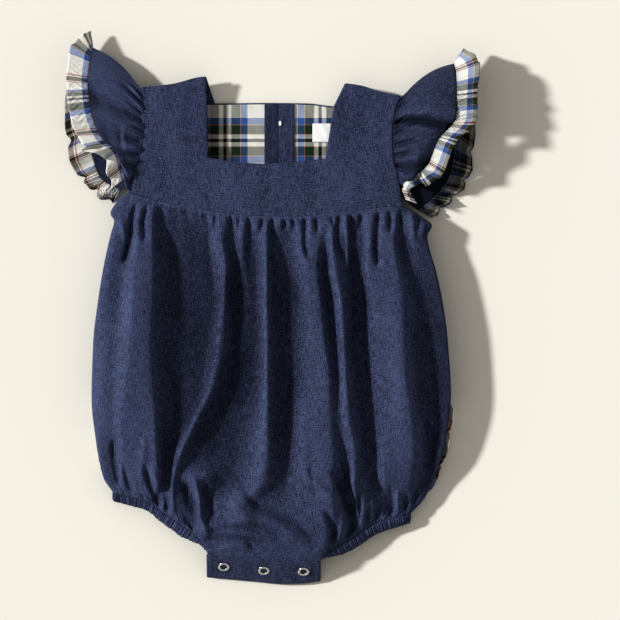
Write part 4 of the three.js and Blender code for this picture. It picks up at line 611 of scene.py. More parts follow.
front_columns = spread((-1, -ROUND_FROM, 13), (-ROUND_FROM, ROUND_FROM, 262), (ROUND_FROM, 1, 13))
front_rows = spread((0, 0.04, 14), (0.04, 0.2, 34), (0.2, 0.72, 68), (0.72, 0.97, 44), (0.97, 1, 6))
g, v = np.meshgrid(front_columns, front_rows)
a = front_base(g, v)
upright = np.cos(a["turn"])
folds = fold_height(a["x"], a["y"]) * ease(v / 0.05) * ease((1 - v) / 0.05)
creases = crease_height(a["x"], a["y"]) * ease(v / 0.015) * ease((1 - v) / 0.03)
gathers = fine_gathers(a["x"], a["top"] - a["y"]) * ease(v / 0.012)
gathers = gathers + hem_gathers(a["foot_x"], a["y"] - edge_y(a["foot_x"])) * ease((1 - v) / 0.008)
lift = held_over((folds + creases + gathers) * upright**2, a["z"])
# Painted shade along the right side and above the tab, then painted shade and wear by the folds and creases.
painted_shade = PAINTED_SHADE_AT_SIDE * ease((a["w"] - 0.9) / 0.07) * upright
painted_shade += PAINTED_SHADE_ABOVE_TAB * ease((v - 0.84) / 0.08) * ease((0.62 - np.abs(a["w"])) / 0.1)
fade = np.clip(WEAR_AND_SHADE_BY_FOLD * (folds - MEAN_FOLD) + WEAR_AND_SHADE_BY_CREASE * (creases + gathers), *WEAR_AND_SHADE_RANGE)
front_facing = np.stack([np.sign(g) * np.sin(a["turn"]), 0 * g, upright], -1)
middle = np.stack([
    a["x"], a["y"] + mix(-SEAM_GAP / 2, SEAM_GAP / 2, v),
    a["z"] + lift + SIDE_SEAM_GAP * np.sin(a["turn"]),
], -1)
uv = np.stack([(g + 1) / 2 * FRONT_CUT[0], (1 - v) * FRONT_CUT[1]], -1)
front = cloth_shell("denim_front", denim, middle + front_facing * BODY_WALL / 2, front_facing, SHELL, uv,
                    fade - painted_shade)
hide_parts("front_body")


# Back of the body: the same denim, flat on the floor but for the seat, which lies on its ruffles,
# and turned up at both sides to meet the front at the side seams. Only its turned-up sides show.
BACK_WALL = 1.4
BACK_ROUND_SHARE, BACK_ROUND_LEAST, BACK_ROUND_MOST = 1.1, 1, 23
BACK_LEVEL = [(0, 0.7), (0.62, 0.7), (0.64, 2.2), (0.93, 2.2), (0.965, 0.7), (1, 0.7)]  # v, z
back_level = smooth_line(BACK_LEVEL)


def back_widths(v, g):
    """How wide the back turns up at a side: a share of its rise there, within two limits."""
    y = np.where(g < 0, mix(LEFT_TOP, LEFT_FOOT, v), mix(RIGHT_TOP, RIGHT_FOOT, v))
    return np.clip((side_height(y) - back_level(v)) * BACK_ROUND_SHARE, BACK_ROUND_LEAST, BACK_ROUND_MOST)


def back_base(g, v):
    """The back's middle: level, with a quarter of an ellipse up to each side seam."""
    level = back_level(v)
    a = across(g, v, back_widths(v, g))
    a["z"] = level + (a["side"] - level) * (1 - np.cos(a["turn"]))
    a["facing"] = np.stack([np.sign(g) * np.sin(a["turn"]), 0 * g, -np.cos(a["turn"])], -1)
    return a


back_columns = spread((-1, -ROUND_FROM, 14), (-ROUND_FROM, ROUND_FROM, 60), (ROUND_FROM, 1, 14))
g, v = np.meshgrid(back_columns, spread((0, 1, 90)))
a = back_base(g, v)
middle = np.stack([
    a["x"], a["y"] + mix(-SEAM_GAP / 2, SEAM_GAP / 2, v), a["z"] - SIDE_SEAM_GAP * np.sin(a["turn"]),
], -1)
uv = np.stack([(g + 1) / 2 * FRONT_CUT[0], (1 - v) * FRONT_CUT[1]], -1)
back = cloth_shell("denim_back", denim, middle + a["facing"] * BACK_WALL / 2, a["facing"], SHELL, uv)
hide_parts("back_body")


# Leg casings: bands of the same denim round each leg opening, drawn up over elastic into many
# tiny gathers. Each runs from the crotch tab along the front to the side seam and back again.
CASING_WALL = 2.2
CASING_SINK = 2.6
CASING_FRONT_SHARE = 0.7
CASING_START_FRONT, CASING_START_BACK = 0.04, 0.09
CASING_GATHERS, CASING_GATHER_HEIGHT, CASING_BACK_GATHERS = 45, 0.7, 0.25
CASING_PUFF, CASING_PRESSED = 0.55, 0.3
CASING_SLANT, CASING_SLANT_REACH = {-1: 2.6, 1: -4.6}, 0.035
CASING_NARROW_FRONT, CASING_NARROW_BACK, CASING_FRONT_REACH = 0.4, 0.15, 0.93
CASING_MOST_BACK = 1.6
CASING_CUT = (0.22, 0.0102)
CASING_CLOTH_WIDTH = 0.008
FLOOR_GAP = 0.02


def leg_casing(name, node, side, tab_x):
    """The casing's grid: stations s from the tab to the side seam on the front and back to the
    tab under it, and t from the seam (0) to the hem (1). Gathers are ridges across the band."""
    half = (FOOT_RIGHT - FOOT_LEFT) / 2
    w_at_tab = (tab_x - FOOT_LEFT) / half - 1
    s, t = np.meshgrid(spread((0, 0.7, 300), (0.7, 1, 40)), spread((0, 1, 10)))
    on_front = s < CASING_FRONT_SHARE
    one = np.ones_like(s)
    front_share = np.minimum(s / CASING_FRONT_SHARE, 1)
    back_share = np.clip((s - CASING_FRONT_SHARE) / (1 - CASING_FRONT_SHARE), 0, 1)
    g_front = mix(w_at_tab * ROUND_FROM / (1 - front_widths(one, side * one) / half), side, front_share)
    g_back = mix(side, w_at_tab * ROUND_FROM / (1 - back_widths(one, side * one) / half), back_share)
    f, b = front_base(g_front, one), back_base(g_back, one)
    pick = {key: np.where(on_front, f[key], b[key]) for key in ("x", "y", "z", "turn", "foot_x")}
    narrow = mix(CASING_NARROW_FRONT, 1, ease(s / 0.13)) * mix(CASING_NARROW_BACK, 1, ease((1 - s) / 0.09))
    narrow = narrow * np.where(on_front, CASING_FRONT_REACH, 1)
    reach = mix(np.where(on_front, CASING_START_FRONT, CASING_START_BACK), narrow, t)
    upright = np.cos(pick["turn"])
    sink = np.where(on_front, CASING_SINK * t * t * upright, 0)
    z = np.where(on_front, pick["z"] - sink, np.maximum(pick["z"], CASING_WALL / 2 + FLOOR_GAP))
    outwards = np.sign(np.where(on_front, g_front, g_back))
    facing = np.stack([outwards * np.sin(pick["turn"]), 0 * s, np.where(on_front, upright, -upright)], -1)
    phase = CASING_GATHERS * s / CASING_FRONT_SHARE
    phase = phase + 0.35 * np.sin(phase * 1.9) + 0.2 * np.sin(phase * 0.7)
    wave = 1 - 2 * np.abs(np.sin(math.pi * phase)) ** 0.8
    wave *= (0.75 + 0.25 * np.sin(phase * 2.7)) * (0.35 + 0.65 * upright)
    wave *= np.where(on_front, 1, CASING_BACK_GATHERS)
    puff = np.sin(math.pi * np.clip(t, 0, 1)) ** 0.6
    raised = np.where(on_front, CASING_PUFF * puff - CASING_PRESSED, 0)
    raised = raised - CASING_GATHER_HEIGHT * wave * ease(s / 0.02) * (0.5 + 0.5 * puff)
    at_tab = np.exp(-((s / CASING_SLANT_REACH) ** 2))
    slant = 0.35 * np.sin(phase * 1.3) * t + CASING_SLANT[side] * t * at_tab
    middle = np.stack([
        pick["x"] + edge_out_x(pick["foot_x"]) * reach + slant,
        pick["y"] + edge_out_y(pick["foot_x"]) * reach + 0.35 * wave * t * on_front, z,
    ], -1)
    outer = middle + facing * (CASING_WALL / 2 + raised)[..., None]
    outer[..., 2] = np.maximum(outer[..., 2], FLOOR_GAP)
    wall = np.minimum(CASING_WALL + raised, np.where(on_front, np.inf, CASING_MOST_BACK))
    uv = np.stack([s * CASING_CUT[0], t * CASING_CLOTH_WIDTH], -1)
    # The mark: lighter on the crests of the gathers and darker in their troughs, partly wear and partly
    # painted shade, and a little darker all over.
    piece = cloth_shell(name, denim, outer, facing, wall, uv, -0.22 * wave - 0.05)
    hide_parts(node)


TAB_LEFT, TAB_RIGHT = -52.4, 39.8
leg_casing("denim_leg_casing_left", "leg_casing_left", -1, TAB_LEFT - 2.2)
leg_casing("denim_leg_casing_right", "leg_casing_right", 1, TAB_RIGHT + 2.0)


# Crotch tabs: a faced strip of denim at the foot of the front, over a like strip of the back
# that turns over at its hem. The three snaps hold one to the other.
TAB_HEM = [(-52.4, -221.4), (-38, -222.6), (-17.6, -224.4), (11, -226.8), (25, -226.4), (39.8, -224.4)]
TAB_HEM_HEIGHT = 4.4
TAB_WALL = 2.0
TAB_BACK_WALL = 1.2
TAB_FOLD_RADIUS = 1.25
TAB_UNDER_DEPTH = 0.85
TAB_UPPER_LENGTH = 12
TAB_CLOTH, TAB_UNDER_CLOTH = (0.092, 0.024), 0.092
tab_hem = smooth_line(TAB_HEM)


def tab_seam(x):
    return edge_y(np.clip(x, TAB_LEFT + 1.8, TAB_RIGHT - 1.6)) - SEAM_GAP / 2


def tab_point(u, t):
    """The front tab's middle: a ruled surface from the seam with the body down to its hem."""
    x = mix(TAB_LEFT, TAB_RIGHT, u)
    return np.stack([x, mix(tab_seam(x), tab_hem(x), t), mix(edge_z(x), TAB_HEM_HEIGHT, t)], -1)


def tab_soft(x, t):
    """The gentle unevenness of the tab's face, in millimetres: a pressed edge and slow waves."""
    rim = np.minimum.reduce([x - TAB_LEFT, TAB_RIGHT - x, (1 - t) * 18])
    waves = 0.28 * np.sin(x * 0.21 + 1) * np.sin(t * 3) + 0.18 * np.sin(x * 0.47 + t * 2)
    return waves * ease(rim / 3) - 0.35 * (1 - ease(rim / 2.2)) - 0.3 * np.exp(-((rim - 5.2) / 0.5) ** 2)


def upward(points):
    """Straight up at every point."""
    return np.broadcast_to((0.0, 0.0, 1.0), points.shape)


u, t = np.meshgrid(spread((0, 1, 150)), spread((0, 1, 46)))
middle = tab_point(u, t)
soft = tab_soft(middle[..., 0], t)
middle[..., 2] += TAB_WALL / 2 + soft
uv = np.stack([u * TAB_CLOTH[0], (1 - t) * TAB_CLOTH[1]], -1)
# The mark follows the tab's relief: lighter on its waves, darker at the pressed edge and groove; partly wear
# and partly painted shade.
tab = cloth_shell("denim_tab_front", denim, middle, upward(middle), TAB_WALL + soft, uv, soft * 0.15)
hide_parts("crotch_tab_front")


def tab_back_path(u):
    """The under tab in section: along the floor, round a half circle at the hem, and back up
    under the front tab at that tab's own slope."""
    x = mix(TAB_LEFT, TAB_RIGHT, u)
    rise = (edge_z(x) - TAB_HEM_HEIGHT) / (tab_seam(x) - tab_hem(x))
    upper = TAB_HEM_HEIGHT - (TAB_WALL / 2 + SEAM_GAP + TAB_UNDER_DEPTH)
    low = TAB_BACK_WALL / 2 + FLOOR_GAP
    slope = np.arctan(rise)
    middle_z = low + TAB_FOLD_RADIUS
    middle_y = tab_hem(x) + (TAB_FOLD_RADIUS / np.cos(slope) + middle_z - upper) / rise
    rows = [(tab_seam(x) - 0.2, low + 0 * x)]
    for share in np.linspace(0, 1, 9):
        angle = -math.pi / 2 - share * (math.pi - slope)
        y = middle_y + TAB_FOLD_RADIUS * np.cos(angle)
        rows.append((y, middle_z + TAB_FOLD_RADIUS * np.sin(angle)))
    last = rows[-1][0]
    for share in (0.5, 1):
        y = last + share * TAB_UPPER_LENGTH
        rows.append((y, upper + rise * (y - tab_hem(x))))
    return np.stack([np.stack([x, y, z], -1) for y, z in rows])


middle = tab_back_path(np.linspace(0, 1, 60))
along = np.gradient(middle, axis=0)
facing = unit(-np.stack([0 * along[..., 0], along[..., 2], -along[..., 1]], -1))
length = np.concatenate([[0], np.cumsum(np.linalg.norm(np.diff(middle[:, 30], axis=0), axis=-1))])
uv = np.stack(np.meshgrid(np.linspace(0, TAB_UNDER_CLOTH, 60), length * MM), -1)
outer = middle + facing * TAB_BACK_WALL / 2
tab_under = cloth_shell("denim_tab_back", denim, outer, facing, TAB_BACK_WALL, uv)
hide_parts("crotch_tab_back")


# Snaps: three open ring snaps of bright steel, 9.5 mm across, pressed through the front tab. The
# cloth shows inside each ring, slightly domed by the stud below it.
SNAP_X = [-39, -6.2, 26.2]
SNAP_FROM_HEM = 10.6
SNAP_OUTER, SNAP_INNER, SNAP_HEIGHT = 4.75, 2.75, 1.15
SNAP_PROUD = 0.15
STEEL_LEAST_DULL, STEEL_MOST_DULL = 0.16, 0.38


def grain(tree, scale, detail, roughness):
    """Noise on a piece's own coordinates in metres, as fine in all three directions."""
    place = new_node(tree, "ShaderNodeTexCoord", "Object")
    return noise(tree, place, (scale, scale, scale), detail, roughness)


steel, tree, shader = surface("Bright steel", {"Base Color": (0.62, 0.62, 0.6, 1), "Metallic": 1})
dull = tree.nodes.new("ShaderNodeMapRange")
dull.inputs["To Min"].default_value = STEEL_LEAST_DULL
dull.inputs["To Max"].default_value = STEEL_MOST_DULL
tree.links.new(grain(tree, scale=2600, detail=3, roughness=0.6), dull.inputs["Value"])
tree.links.new(dull.outputs["Result"], shader.inputs["Roughness"])


def turned(name, profile, sides, place, normal, material, node=None):
    """A turned piece: a closed or axis-to-axis profile of (radius, height) swept round the
    normal at a place. Radii of 0 are merged to one point."""
    radius, height = np.array(profile, float).T
    angle = np.linspace(0, 2 * math.pi, sides, endpoint=False)
    normal = unit(np.array(normal, float))
    east = unit(np.cross((0, 1, 0), normal))
    north = np.cross(normal, east)
    ring = np.cos(angle)[:, None] * east + np.sin(angle)[:, None] * north
    spots = np.array(place) + radius[:, None, None] * ring + height[:, None, None] * normal
    number = np.arange(len(profile) * sides).reshape(len(profile), sides)
    after = np.roll(number, -1, axis=1)
    quads = np.stack([number[:-1], after[:-1], after[1:], number[1:]], -1).reshape(-1, 4)
    mesh = bpy.data.meshes.new(name)
    mesh.from_pydata((spots * MM).reshape(-1, 3).tolist(), [], quads.tolist())
    work = bmesh.new()
    work.from_mesh(mesh)
    bmesh.ops.remove_doubles(work, verts=work.verts, dist=1e-7)
    bmesh.ops.recalc_face_normals(work, faces=work.faces)
    for face in work.faces:
        face.smooth = True
    work.to_mesh(mesh)
    work.free()
    piece = new_piece(name, mesh, material)
    if node:
        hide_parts(node)
    return piece


ring_middle, ring_half = (SNAP_OUTER + SNAP_INNER) / 2, (SNAP_OUTER - SNAP_INNER) / 2
ring_turn = np.linspace(0, 2 * math.pi, 17)
ring_rise = SNAP_HEIGHT / 2 * (1 + np.sin(ring_turn) * 0.98)
ring_profile = np.stack([ring_middle + ring_half * np.cos(ring_turn), ring_rise], -1)
dome_profile = [(0, 0.55), (1.0, 0.5), (1.8, 0.32), (2.4, 0.1), (2.6, -0.1), (0, -0.1)]
for index, x in enumerate(SNAP_X):
    u = (x - TAB_LEFT) / (TAB_RIGHT - TAB_LEFT)
    top, hem = tab_point(u, 0), tab_point(u, 1)
    t = (hem[1] + SNAP_FROM_HEM - top[1]) / (hem[1] - top[1])
    rise = (top[2] - hem[2]) / (top[1] - hem[1])
    normal = np.array([0, -rise, 1]) / math.hypot(rise, 1)
    seat = tab_point(u, t) + normal * ((TAB_WALL / 2) * normal[2] + SNAP_PROUD)
    turned(f"steel_snap_{index + 1}", ring_profile, 40, seat, normal, steel,
           f"snap_ring_{index + 1}")
    turned(f"denim_snap_middle_{index + 1}", dome_profile, 20, seat, normal, denim)


# Front yoke: a plain panel of denim, faced inside, with a wide strap on each side of the square
# neck. It is pressed flat, with its seam allowances showing as faint ridges along the edges.
YOKE_WALL, YOKE_EXTRA = 1.5, 0.3
FACING_WIDTH = 7.2
# y and x up the armholes and the sides of the neck
armhole_left = smooth_line([(93, -117), (109, -112.8), (125, -106), (153, -103.2), (179, -105.6)])
armhole_right = smooth_line([
    (82.5, 107), (108, 102.9), (120, 99.8), (141, 98.6), (161, 101.3), (172, 105.4),
])
neck_left = smooth_line([(121, -52.1), (187.5, -53.7)])
neck_right = smooth_line([(120.3, 44.4), (142, 48), (158, 50.4), (168, 53.7), (182, 61)])
# x and y along the neckline and the ends of the straps
neckline = smooth_line([
    (-120, 121), (-52, 121), (-30, 117.6), (-5, 116.4), (25, 118.4), (44.4, 120.3), (120, 120.3),
])
strap_ends = smooth_line([
    (-106, 179), (-82, 181.4), (-53.7, 187.5), (61, 182), (74, 180), (88, 175.5), (106, 172),
])
# y and z up the armholes
armhole_height = smooth_line([
    (82, 15.6), (93, 15.4), (110, 14.5), (130, 13.5), (150, 13.2), (165, 14.2), (180, 16),
])


def panel_point(lines, u, v, top, middle, bottom):
    """x and y on a yoke: u is 0 to 1 over the first strap, 1 to 2 over the neck and 2 to 3 over
    the second strap, v is 0 to 1 down the straps and 1 to 2 down the chest to the seam."""
    band = np.minimum(len(lines) - 2, np.floor(u)).astype(int)
    y = np.full(np.shape(u), 130.0)
    for _ in range(8):
        edges = np.stack([line(y) + 0 * y for line in lines])
        first = np.take_along_axis(edges, band[None], 0)[0]
        second = np.take_along_axis(edges, band[None] + 1, 0)[0]
        x = mix(first, second, u - band)
        y = np.where(v < 1, mix(top(x), middle(x), v), mix(middle(x), bottom(x), v - 1))
    return x, y


def yoke_height(x, y):
    """Level with the chest at the middle, falling with the fourth power of the way out to the
    height of the armholes."""
    left, right = armhole_left(y), armhole_right(y)
    w = np.clip((2 * x - left - right) / (right - left), -1, 1)
    return armhole_height(y) + (chest_height(y) - armhole_height(y)) * (1 - w**4)


def yoke_soft(x, y):
    """How the pressed panel lies, in millimetres: slow waves, the ridge of the facing's edge a
    little inside the armholes and neck, and the puckers just above the gathered seam."""
    to_armhole = np.minimum(x - armhole_left(y), armhole_right(y) - x)
    above_seam = y - yoke_seam(x)
    below_neck = neckline(x) - y
    to_neck = np.minimum(np.abs(x - neck_left(y)), np.abs(x - neck_right(y)))
    in_neck = (x > neck_left(y)) & (x < neck_right(y))
    neck_gap = np.where(in_neck, below_neck, np.hypot(to_neck, np.maximum(0, below_neck)))
    waves = 0.5 * np.sin(x * 0.062 + 0.7) * np.sin(y * 0.05) + 0.3 * np.sin(x * 0.15 + y * 0.04 + 2)
    waves += 0.22 * np.sin(x * 0.31 + 0.5 * np.sin(y * 0.1)) * ease(above_seam / 18)
    ridge = 0.35 * (ease((to_armhole - FACING_WIDTH + 0.8) / 1.2) - 1)
    hem = 0.3 * ease((neck_gap - 0.2) / 1.2) - 0.22 * np.exp(-((neck_gap - 2.2) / 0.55) ** 2)
    pucker = 0.3 * np.sin(x * 1.05 + 1.2 * np.sin(x * 0.23)) * np.exp(-above_seam / 2.4)
    groove = -0.3 * np.exp(-((above_seam - 2.4) / 0.6) ** 2)
    waves *= ease(to_armhole / 10) * ease(above_seam / 8 + 0.2)
    return waves - ridge * 0.6 + hem + pucker + groove


def yoke_foot(x):
    return yoke_seam(x) + SEAM_GAP / 2


def on_yoke(x, y, proud=0):
    """Points on the yoke's face, or proud of it by so many millimetres."""
    return np.stack([x, y, yoke_height(x, y) + YOKE_WALL / 2 + yoke_soft(x, y) + proud], -1)


u, v = np.meshgrid(spread((0, 1, 52), (1, 2, 100), (2, 3, 52)), spread((0, 1, 66), (1, 2, 50)))
front_lines = [armhole_left, neck_left, neck_right, armhole_right]
x, y = panel_point(front_lines, u, v, strap_ends, neckline, yoke_foot)
outer = on_yoke(x, y)
keep = (v[:-1, :-1] >= 1) | (u[:-1, :-1] < 1) | (u[:-1, :-1] >= 2)
# The mark follows the yoke's relief, lighter where it stands up and darker where it sinks: partly wear and
# partly painted shade.
yoke = cloth_shell("denim_yoke_front", denim, outer, upward(outer), SHELL + YOKE_EXTRA,
                   np.stack([x * MM, y * MM], -1), 0.1 * yoke_soft(x, y), keep)
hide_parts("front_yoke")


# Back yoke: two halves of denim that meet at the back opening, flat on the floor at the middle
# and turned up to the armholes, with straps that rise to meet those of the front.
BACK_YOKE_WALL = 1.2
BACK_OPENING_X = 6
BACK_YOKE_RISE = 15
back_neckline = smooth_line([(-60, 166), (-46.7, 166), (0, 166.4), (30, 166), (51.3, 163.8), (70, 163.8)])
back_neck_left = smooth_line([(166, -46.7), (187.5, -53.7)])
back_neck_right = smooth_line([(163.8, 51.3), (182, 60.3)])
# y and z, at the middle of the back yoke and at its armholes
back_yoke_level = smooth_line([(70, 0.6), (156, 0.6), (166, 1.8), (175, 6.4), (188, 13.6)])
back_yoke_edge = smooth_line([
    (82, 14.8), (90, 12.5), (100, 7), (114, 3.6), (135, 2.4), (156, 3), (168, 7), (180, 12.2),
])


def level_line(value):
    """A line that has the same value at every place."""
    return lambda x: value + 0 * np.asarray(x, float)


def back_yoke_place(x, y):
    """Height and slope of the back yoke: level, and rising with the square of the way to the
    armhole over its last stretch."""
    to_edge = np.minimum(x - armhole_left(y), armhole_right(y) - x)
    q = np.clip(1 - to_edge / BACK_YOKE_RISE, 0, 1)
    level = back_yoke_level(y)
    rise = back_yoke_edge(y) - level
    return level + rise * q * q, 2 * rise * q / BACK_YOKE_RISE


def back_yoke(name, node, side):
    """One half: its strap is the first or the second band of the panel, by its side."""
    at_opening = level_line(BACK_OPENING_X + side * SEAM_GAP / 2)
    if side < 0:
        lines = [armhole_left, back_neck_left, at_opening]
    else:
        lines = [at_opening, back_neck_right, armhole_right]
    u, v = np.meshgrid(spread((0, 1, 36), (1, 1.9999, 36)), spread((0, 1, 24), (1, 2, 50)))
    x, y = panel_point(lines, u, v, strap_ends, back_neckline, yoke_foot)
    z, slope = back_yoke_place(x, y)
    facing = unit(np.stack([side * slope, 0 * x, -np.ones_like(x)], -1))
    outer = np.stack([x, y, z], -1) + facing * BACK_YOKE_WALL / 2
    keep = (v[:-1, :-1] >= 1) | (u[:-1, :-1] < 1 if side < 0 else u[:-1, :-1] >= 1)
    piece = cloth_shell(name, denim, outer, facing, BACK_YOKE_WALL, np.stack([x * MM, y * MM], -1), keep=keep)
    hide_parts(node)


back_yoke("denim_yoke_back_left", "back_yoke_left", -1)
back_yoke("denim_yoke_back_right", "back_yoke_right", 1)


# Facing of the back yoke: soft cotton woven in a common check, which shows inside the neck. Its
# stripes repeat every 78 mm, mirrored about a black line and about a brown one between two rust.
LINING_WALL = 1.0
LINING_LOW = 98
LINING_LEFT, LINING_RIGHT = -66, 64
LINING_MIDDLE = BACK_YOKE_WALL / 2 + SEAM_GAP + LINING_WALL / 2
CHECK_HALF = 39.0
CHECK_CENTRE = (-38.1, 136.1)
CHECK_THREAD = 0.0007
DARK_YARN = 0.35
BLACK, GREEN, BLUE = (0.012, 0.013, 0.016), (0.022, 0.05, 0.03), (0.075, 0.16, 0.42)
WHITE, TAN = (0.78, 0.79, 0.78), (0.5, 0.3, 0.19)
RUST, BROWN = (0.42, 0.13, 0.07), (0.07, 0.035, 0.025)
CHECK_STRIPES = [  # where each stripe starts, in mm from the black line, and its colour
    (0, BLACK), (1.3, WHITE), (4.6, TAN), (5.3, GREEN), (12.2, TAN), (13.1, BLUE), (18.3, WHITE),
    (33.6, RUST), (35.1, WHITE), (36.3, BROWN),
]


def make_check():
    """Each direction's stripes come from one ramp over a folded-back distance; threads of the
    two directions alternate, and both show by half."""
    group, given, result = empty_group(
        "Woven check",
        [("Cloth", "NodeSocketVector", None)],
        [("Colour", "NodeSocketColor"), ("Height", "NodeSocketFloat")],
    )
    split = group.nodes.new("ShaderNodeSeparateXYZ")
    group.links.new(given.outputs["Cloth"], split.inputs[0])
    wander = noise(group, given.outputs["Cloth"], (180, 180, 1), 2, 0.5)
    sets, threads = [], []
    for axis in (0, 1):
        turn = maths(group, "MULTIPLY", split.outputs[axis], 2 * math.pi / CHECK_THREAD)
        threads.append(maths(group, "SINE", turn))
        far = maths(group, "MULTIPLY", split.outputs[axis], 1000)
        far = maths(group, "ADD", far, centred(group, wander, 0.5))
        folded = maths(group, "DIVIDE", maths(group, "PINGPONG", far, CHECK_HALF), CHECK_HALF)
        ramp = group.nodes.new("ShaderNodeValToRGB")
        ramp.color_ramp.interpolation = "CONSTANT"
        marks = ramp.color_ramp.elements
        marks[0].position, marks[0].color = 0, (*CHECK_STRIPES[0][1], 1)
        marks[1].position, marks[1].color = CHECK_STRIPES[-1][0] / CHECK_HALF, (*CHECK_STRIPES[-1][1], 1)
        for start, colour in CHECK_STRIPES[1:-1]:
            marks.new(start / CHECK_HALF).color = (*colour, 1)
        group.links.new(folded, ramp.inputs[0])
        sets.append(ramp.outputs["Color"])
    over = maths(group, "MULTIPLY", *threads)
    fuzz = noise(group, given.outputs["Cloth"], (1500, 1500, 1), 3, 0.6)
    share = maths(group, "ADD", linear(group, over, 0.22, 0.5), centred(group, fuzz, 0.5), clamp=True)
    darker = blend(group, 1, *sets, "MULTIPLY")
    colour = blend(group, DARK_YARN, blend(group, share, *sets), darker)
    colour = blend(group, 1, colour, linear(group, fuzz, 0.3, 0.82), "MULTIPLY")
    group.links.new(colour, result.inputs["Colour"])
    group.links.new(maths(group, "ADD", fuzz, maths(group, "MULTIPLY", over, 0.5)), result.inputs["Height"])
    return group


check, tree, shader = surface("Woven check cotton", {
    "Roughness": 0.9, "Specular IOR Level": 0.2, "Sheen Weight": 0.15, "Sheen Roughness": 0.5,
})
weave = new_node(tree, "ShaderNodeGroup", node_tree=make_check())
tree.links.new(new_node(tree, "ShaderNodeUVMap", "UV", uv_map="cloth"), weave.inputs["Cloth"])
# The check's colour is scaled by the mark of painted light and shade.
light_share = maths(tree, "ADD", new_node(tree, "ShaderNodeAttribute", "Fac", attribute_name="painted_light_and_wear"), 1)
colour = blend(tree, 1, weave.outputs["Colour"], light_share, "MULTIPLY")
tree.links.new(colour, shader.inputs["Base Color"])
add_bump(tree, shader, weave.outputs["Height"], distance=0.0002, strength=0.5)


def inside_panel(name, node, left, right, low, top, over, wall, material, slot_name, counts, flat):
    """A flat layer inside the back yoke: x from left to right, y from its top line down to low,
    at the height of the yoke below it plus its own place in the layers."""
    u, v = np.meshgrid(spread((0, 1, counts[0])), spread((0, 0.12, 8), (0.12, 1, counts[1])))
    x = mix(left, right, u)
    y = mix(top(x) + 0 * x, low, v)
    soft = 0.18 * np.sin(x * 0.21 + 1) * np.sin(y * 0.17) + 0.12 * np.sin(x * 0.6 + y * 0.35)
    soft = np.maximum(soft, -0.1) * ease(u * 4) * ease((1 - u) * 4)
    outer = np.stack([x, y, back_yoke_place(x, y)[0] + over + wall / 2 + soft], -1)
    uv = np.stack([(x - CHECK_CENTRE[0]) * MM, (y - CHECK_CENTRE[1]) * MM], -1)
    piece = cloth_shell(name, material, outer, upward(outer), wall, uv)
    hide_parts(node)


def lining_top(x):
    return back_neckline(x) - 1.1


half_gap = SEAM_GAP / 2
facing_layer = (LINING_LOW, lining_top, LINING_MIDDLE, LINING_WALL, check, "check_cloth", (50, 60))
inside_panel("check_facing_left", "back_lining_left", LINING_LEFT, BACK_OPENING_X - half_gap,
             *facing_layer, (0.072, 0.069))
inside_panel("check_facing_right", "back_lining_right", BACK_OPENING_X + half_gap, LINING_RIGHT,
             *facing_layer, (0.058, 0.069))


# Bands of the back opening: two strips of denim, folded double, sewn down its edges in one row
# each. The button's strip has a darker copy of the denim.
PLACKET_WALL = 1.2
PLACKET_LEFT, PLACKET_RIGHT, PLACKET_TOP = -5.3, 18.5, 165.4
PLACKET_MIDDLE = LINING_MIDDLE + LINING_WALL / 2 + SEAM_GAP + PLACKET_WALL / 2
darker_denim = denim_material("Darker denim", (0.006, 0.008, 0.022), (0.060, 0.075, 0.150))
placket_top = level_line(PLACKET_TOP)
inside_panel("denim_band_left", "back_placket_left", PLACKET_LEFT, BACK_OPENING_X - half_gap, LINING_LOW,
             placket_top, PLACKET_MIDDLE, PLACKET_WALL, darker_denim, "denim", (14, 50), (0.0115, 0.068))
inside_panel("denim_band_right", "back_placket_right", BACK_OPENING_X + half_gap, PLACKET_RIGHT, LINING_LOW,
             placket_top, PLACKET_MIDDLE, PLACKET_WALL, denim, "denim", (14, 50), (0.0127, 0.068))


# Neck label: a blank square of white woven tape, folded double and sewn on at its upper edge. The
# ribs of the tape run across it.
LABEL_X, LABEL_Y, LABEL_SIDE, LABEL_WALL = 41.4, 142.3, 14.8, 1.0
LABEL_MIDDLE = LINING_MIDDLE + LINING_WALL / 2 + SEAM_GAP + LABEL_WALL / 2
tape, tree, shader = surface("White woven tape", {"Roughness": 0.6, "Sheen Weight": 0.2})
ribs = noise(tree, new_node(tree, "ShaderNodeUVMap", "UV", uv_map="cloth"), (300, 3000, 1), 2, 0.5)
add_bump(tree, shader, ribs, distance=0.00015, strength=0.5)
tree.links.new(blend(tree, ribs, (0.76, 0.78, 0.79, 1), (0.86, 0.88, 0.9, 1)), shader.inputs["Base Color"])
label_low = LABEL_Y - LABEL_SIDE / 2
label_top = level_line(label_low + LABEL_SIDE)
inside_panel("white_label", "label_blank", LABEL_X - LABEL_SIDE / 2, LABEL_X + LABEL_SIDE / 2, label_low,
             label_top, LABEL_MIDDLE, LABEL_WALL, tape, "label_tape", (16, 16), (0.0148, 0.0148))


# Button: a small white button of moulded plastic with a sunk middle, half through its buttonhole,
# so only a narrow part of it shows.
BUTTON_X, BUTTON_Y, BUTTON_SQUASH = 7, 150, 0.55
plastic, tree, shader = surface("White button plastic", {"Roughness": 0.28})
cloudy = grain(tree, scale=900, detail=2, roughness=0.5)
tree.links.new(blend(tree, cloudy, (0.8, 0.79, 0.75, 1), (0.95, 0.94, 0.9, 1)), shader.inputs["Base Color"])
yoke_below = float(back_yoke_place(np.array(BUTTON_X), np.array(BUTTON_Y))[0])
button_seat = yoke_below + PLACKET_MIDDLE + PLACKET_WALL / 2
button_profile = [
    (0, 0), (2.0, 0), (2.1, 0.25), (2.1, 0.6), (1.9, 0.95), (1.5, 1.05), (1.2, 0.85), (0, 0.8),
]
button = turned("white_button", button_profile, 32, (BUTTON_X, BUTTON_Y, button_seat + SEAM_GAP), (0, 0, 1),
                plastic, "back_button")
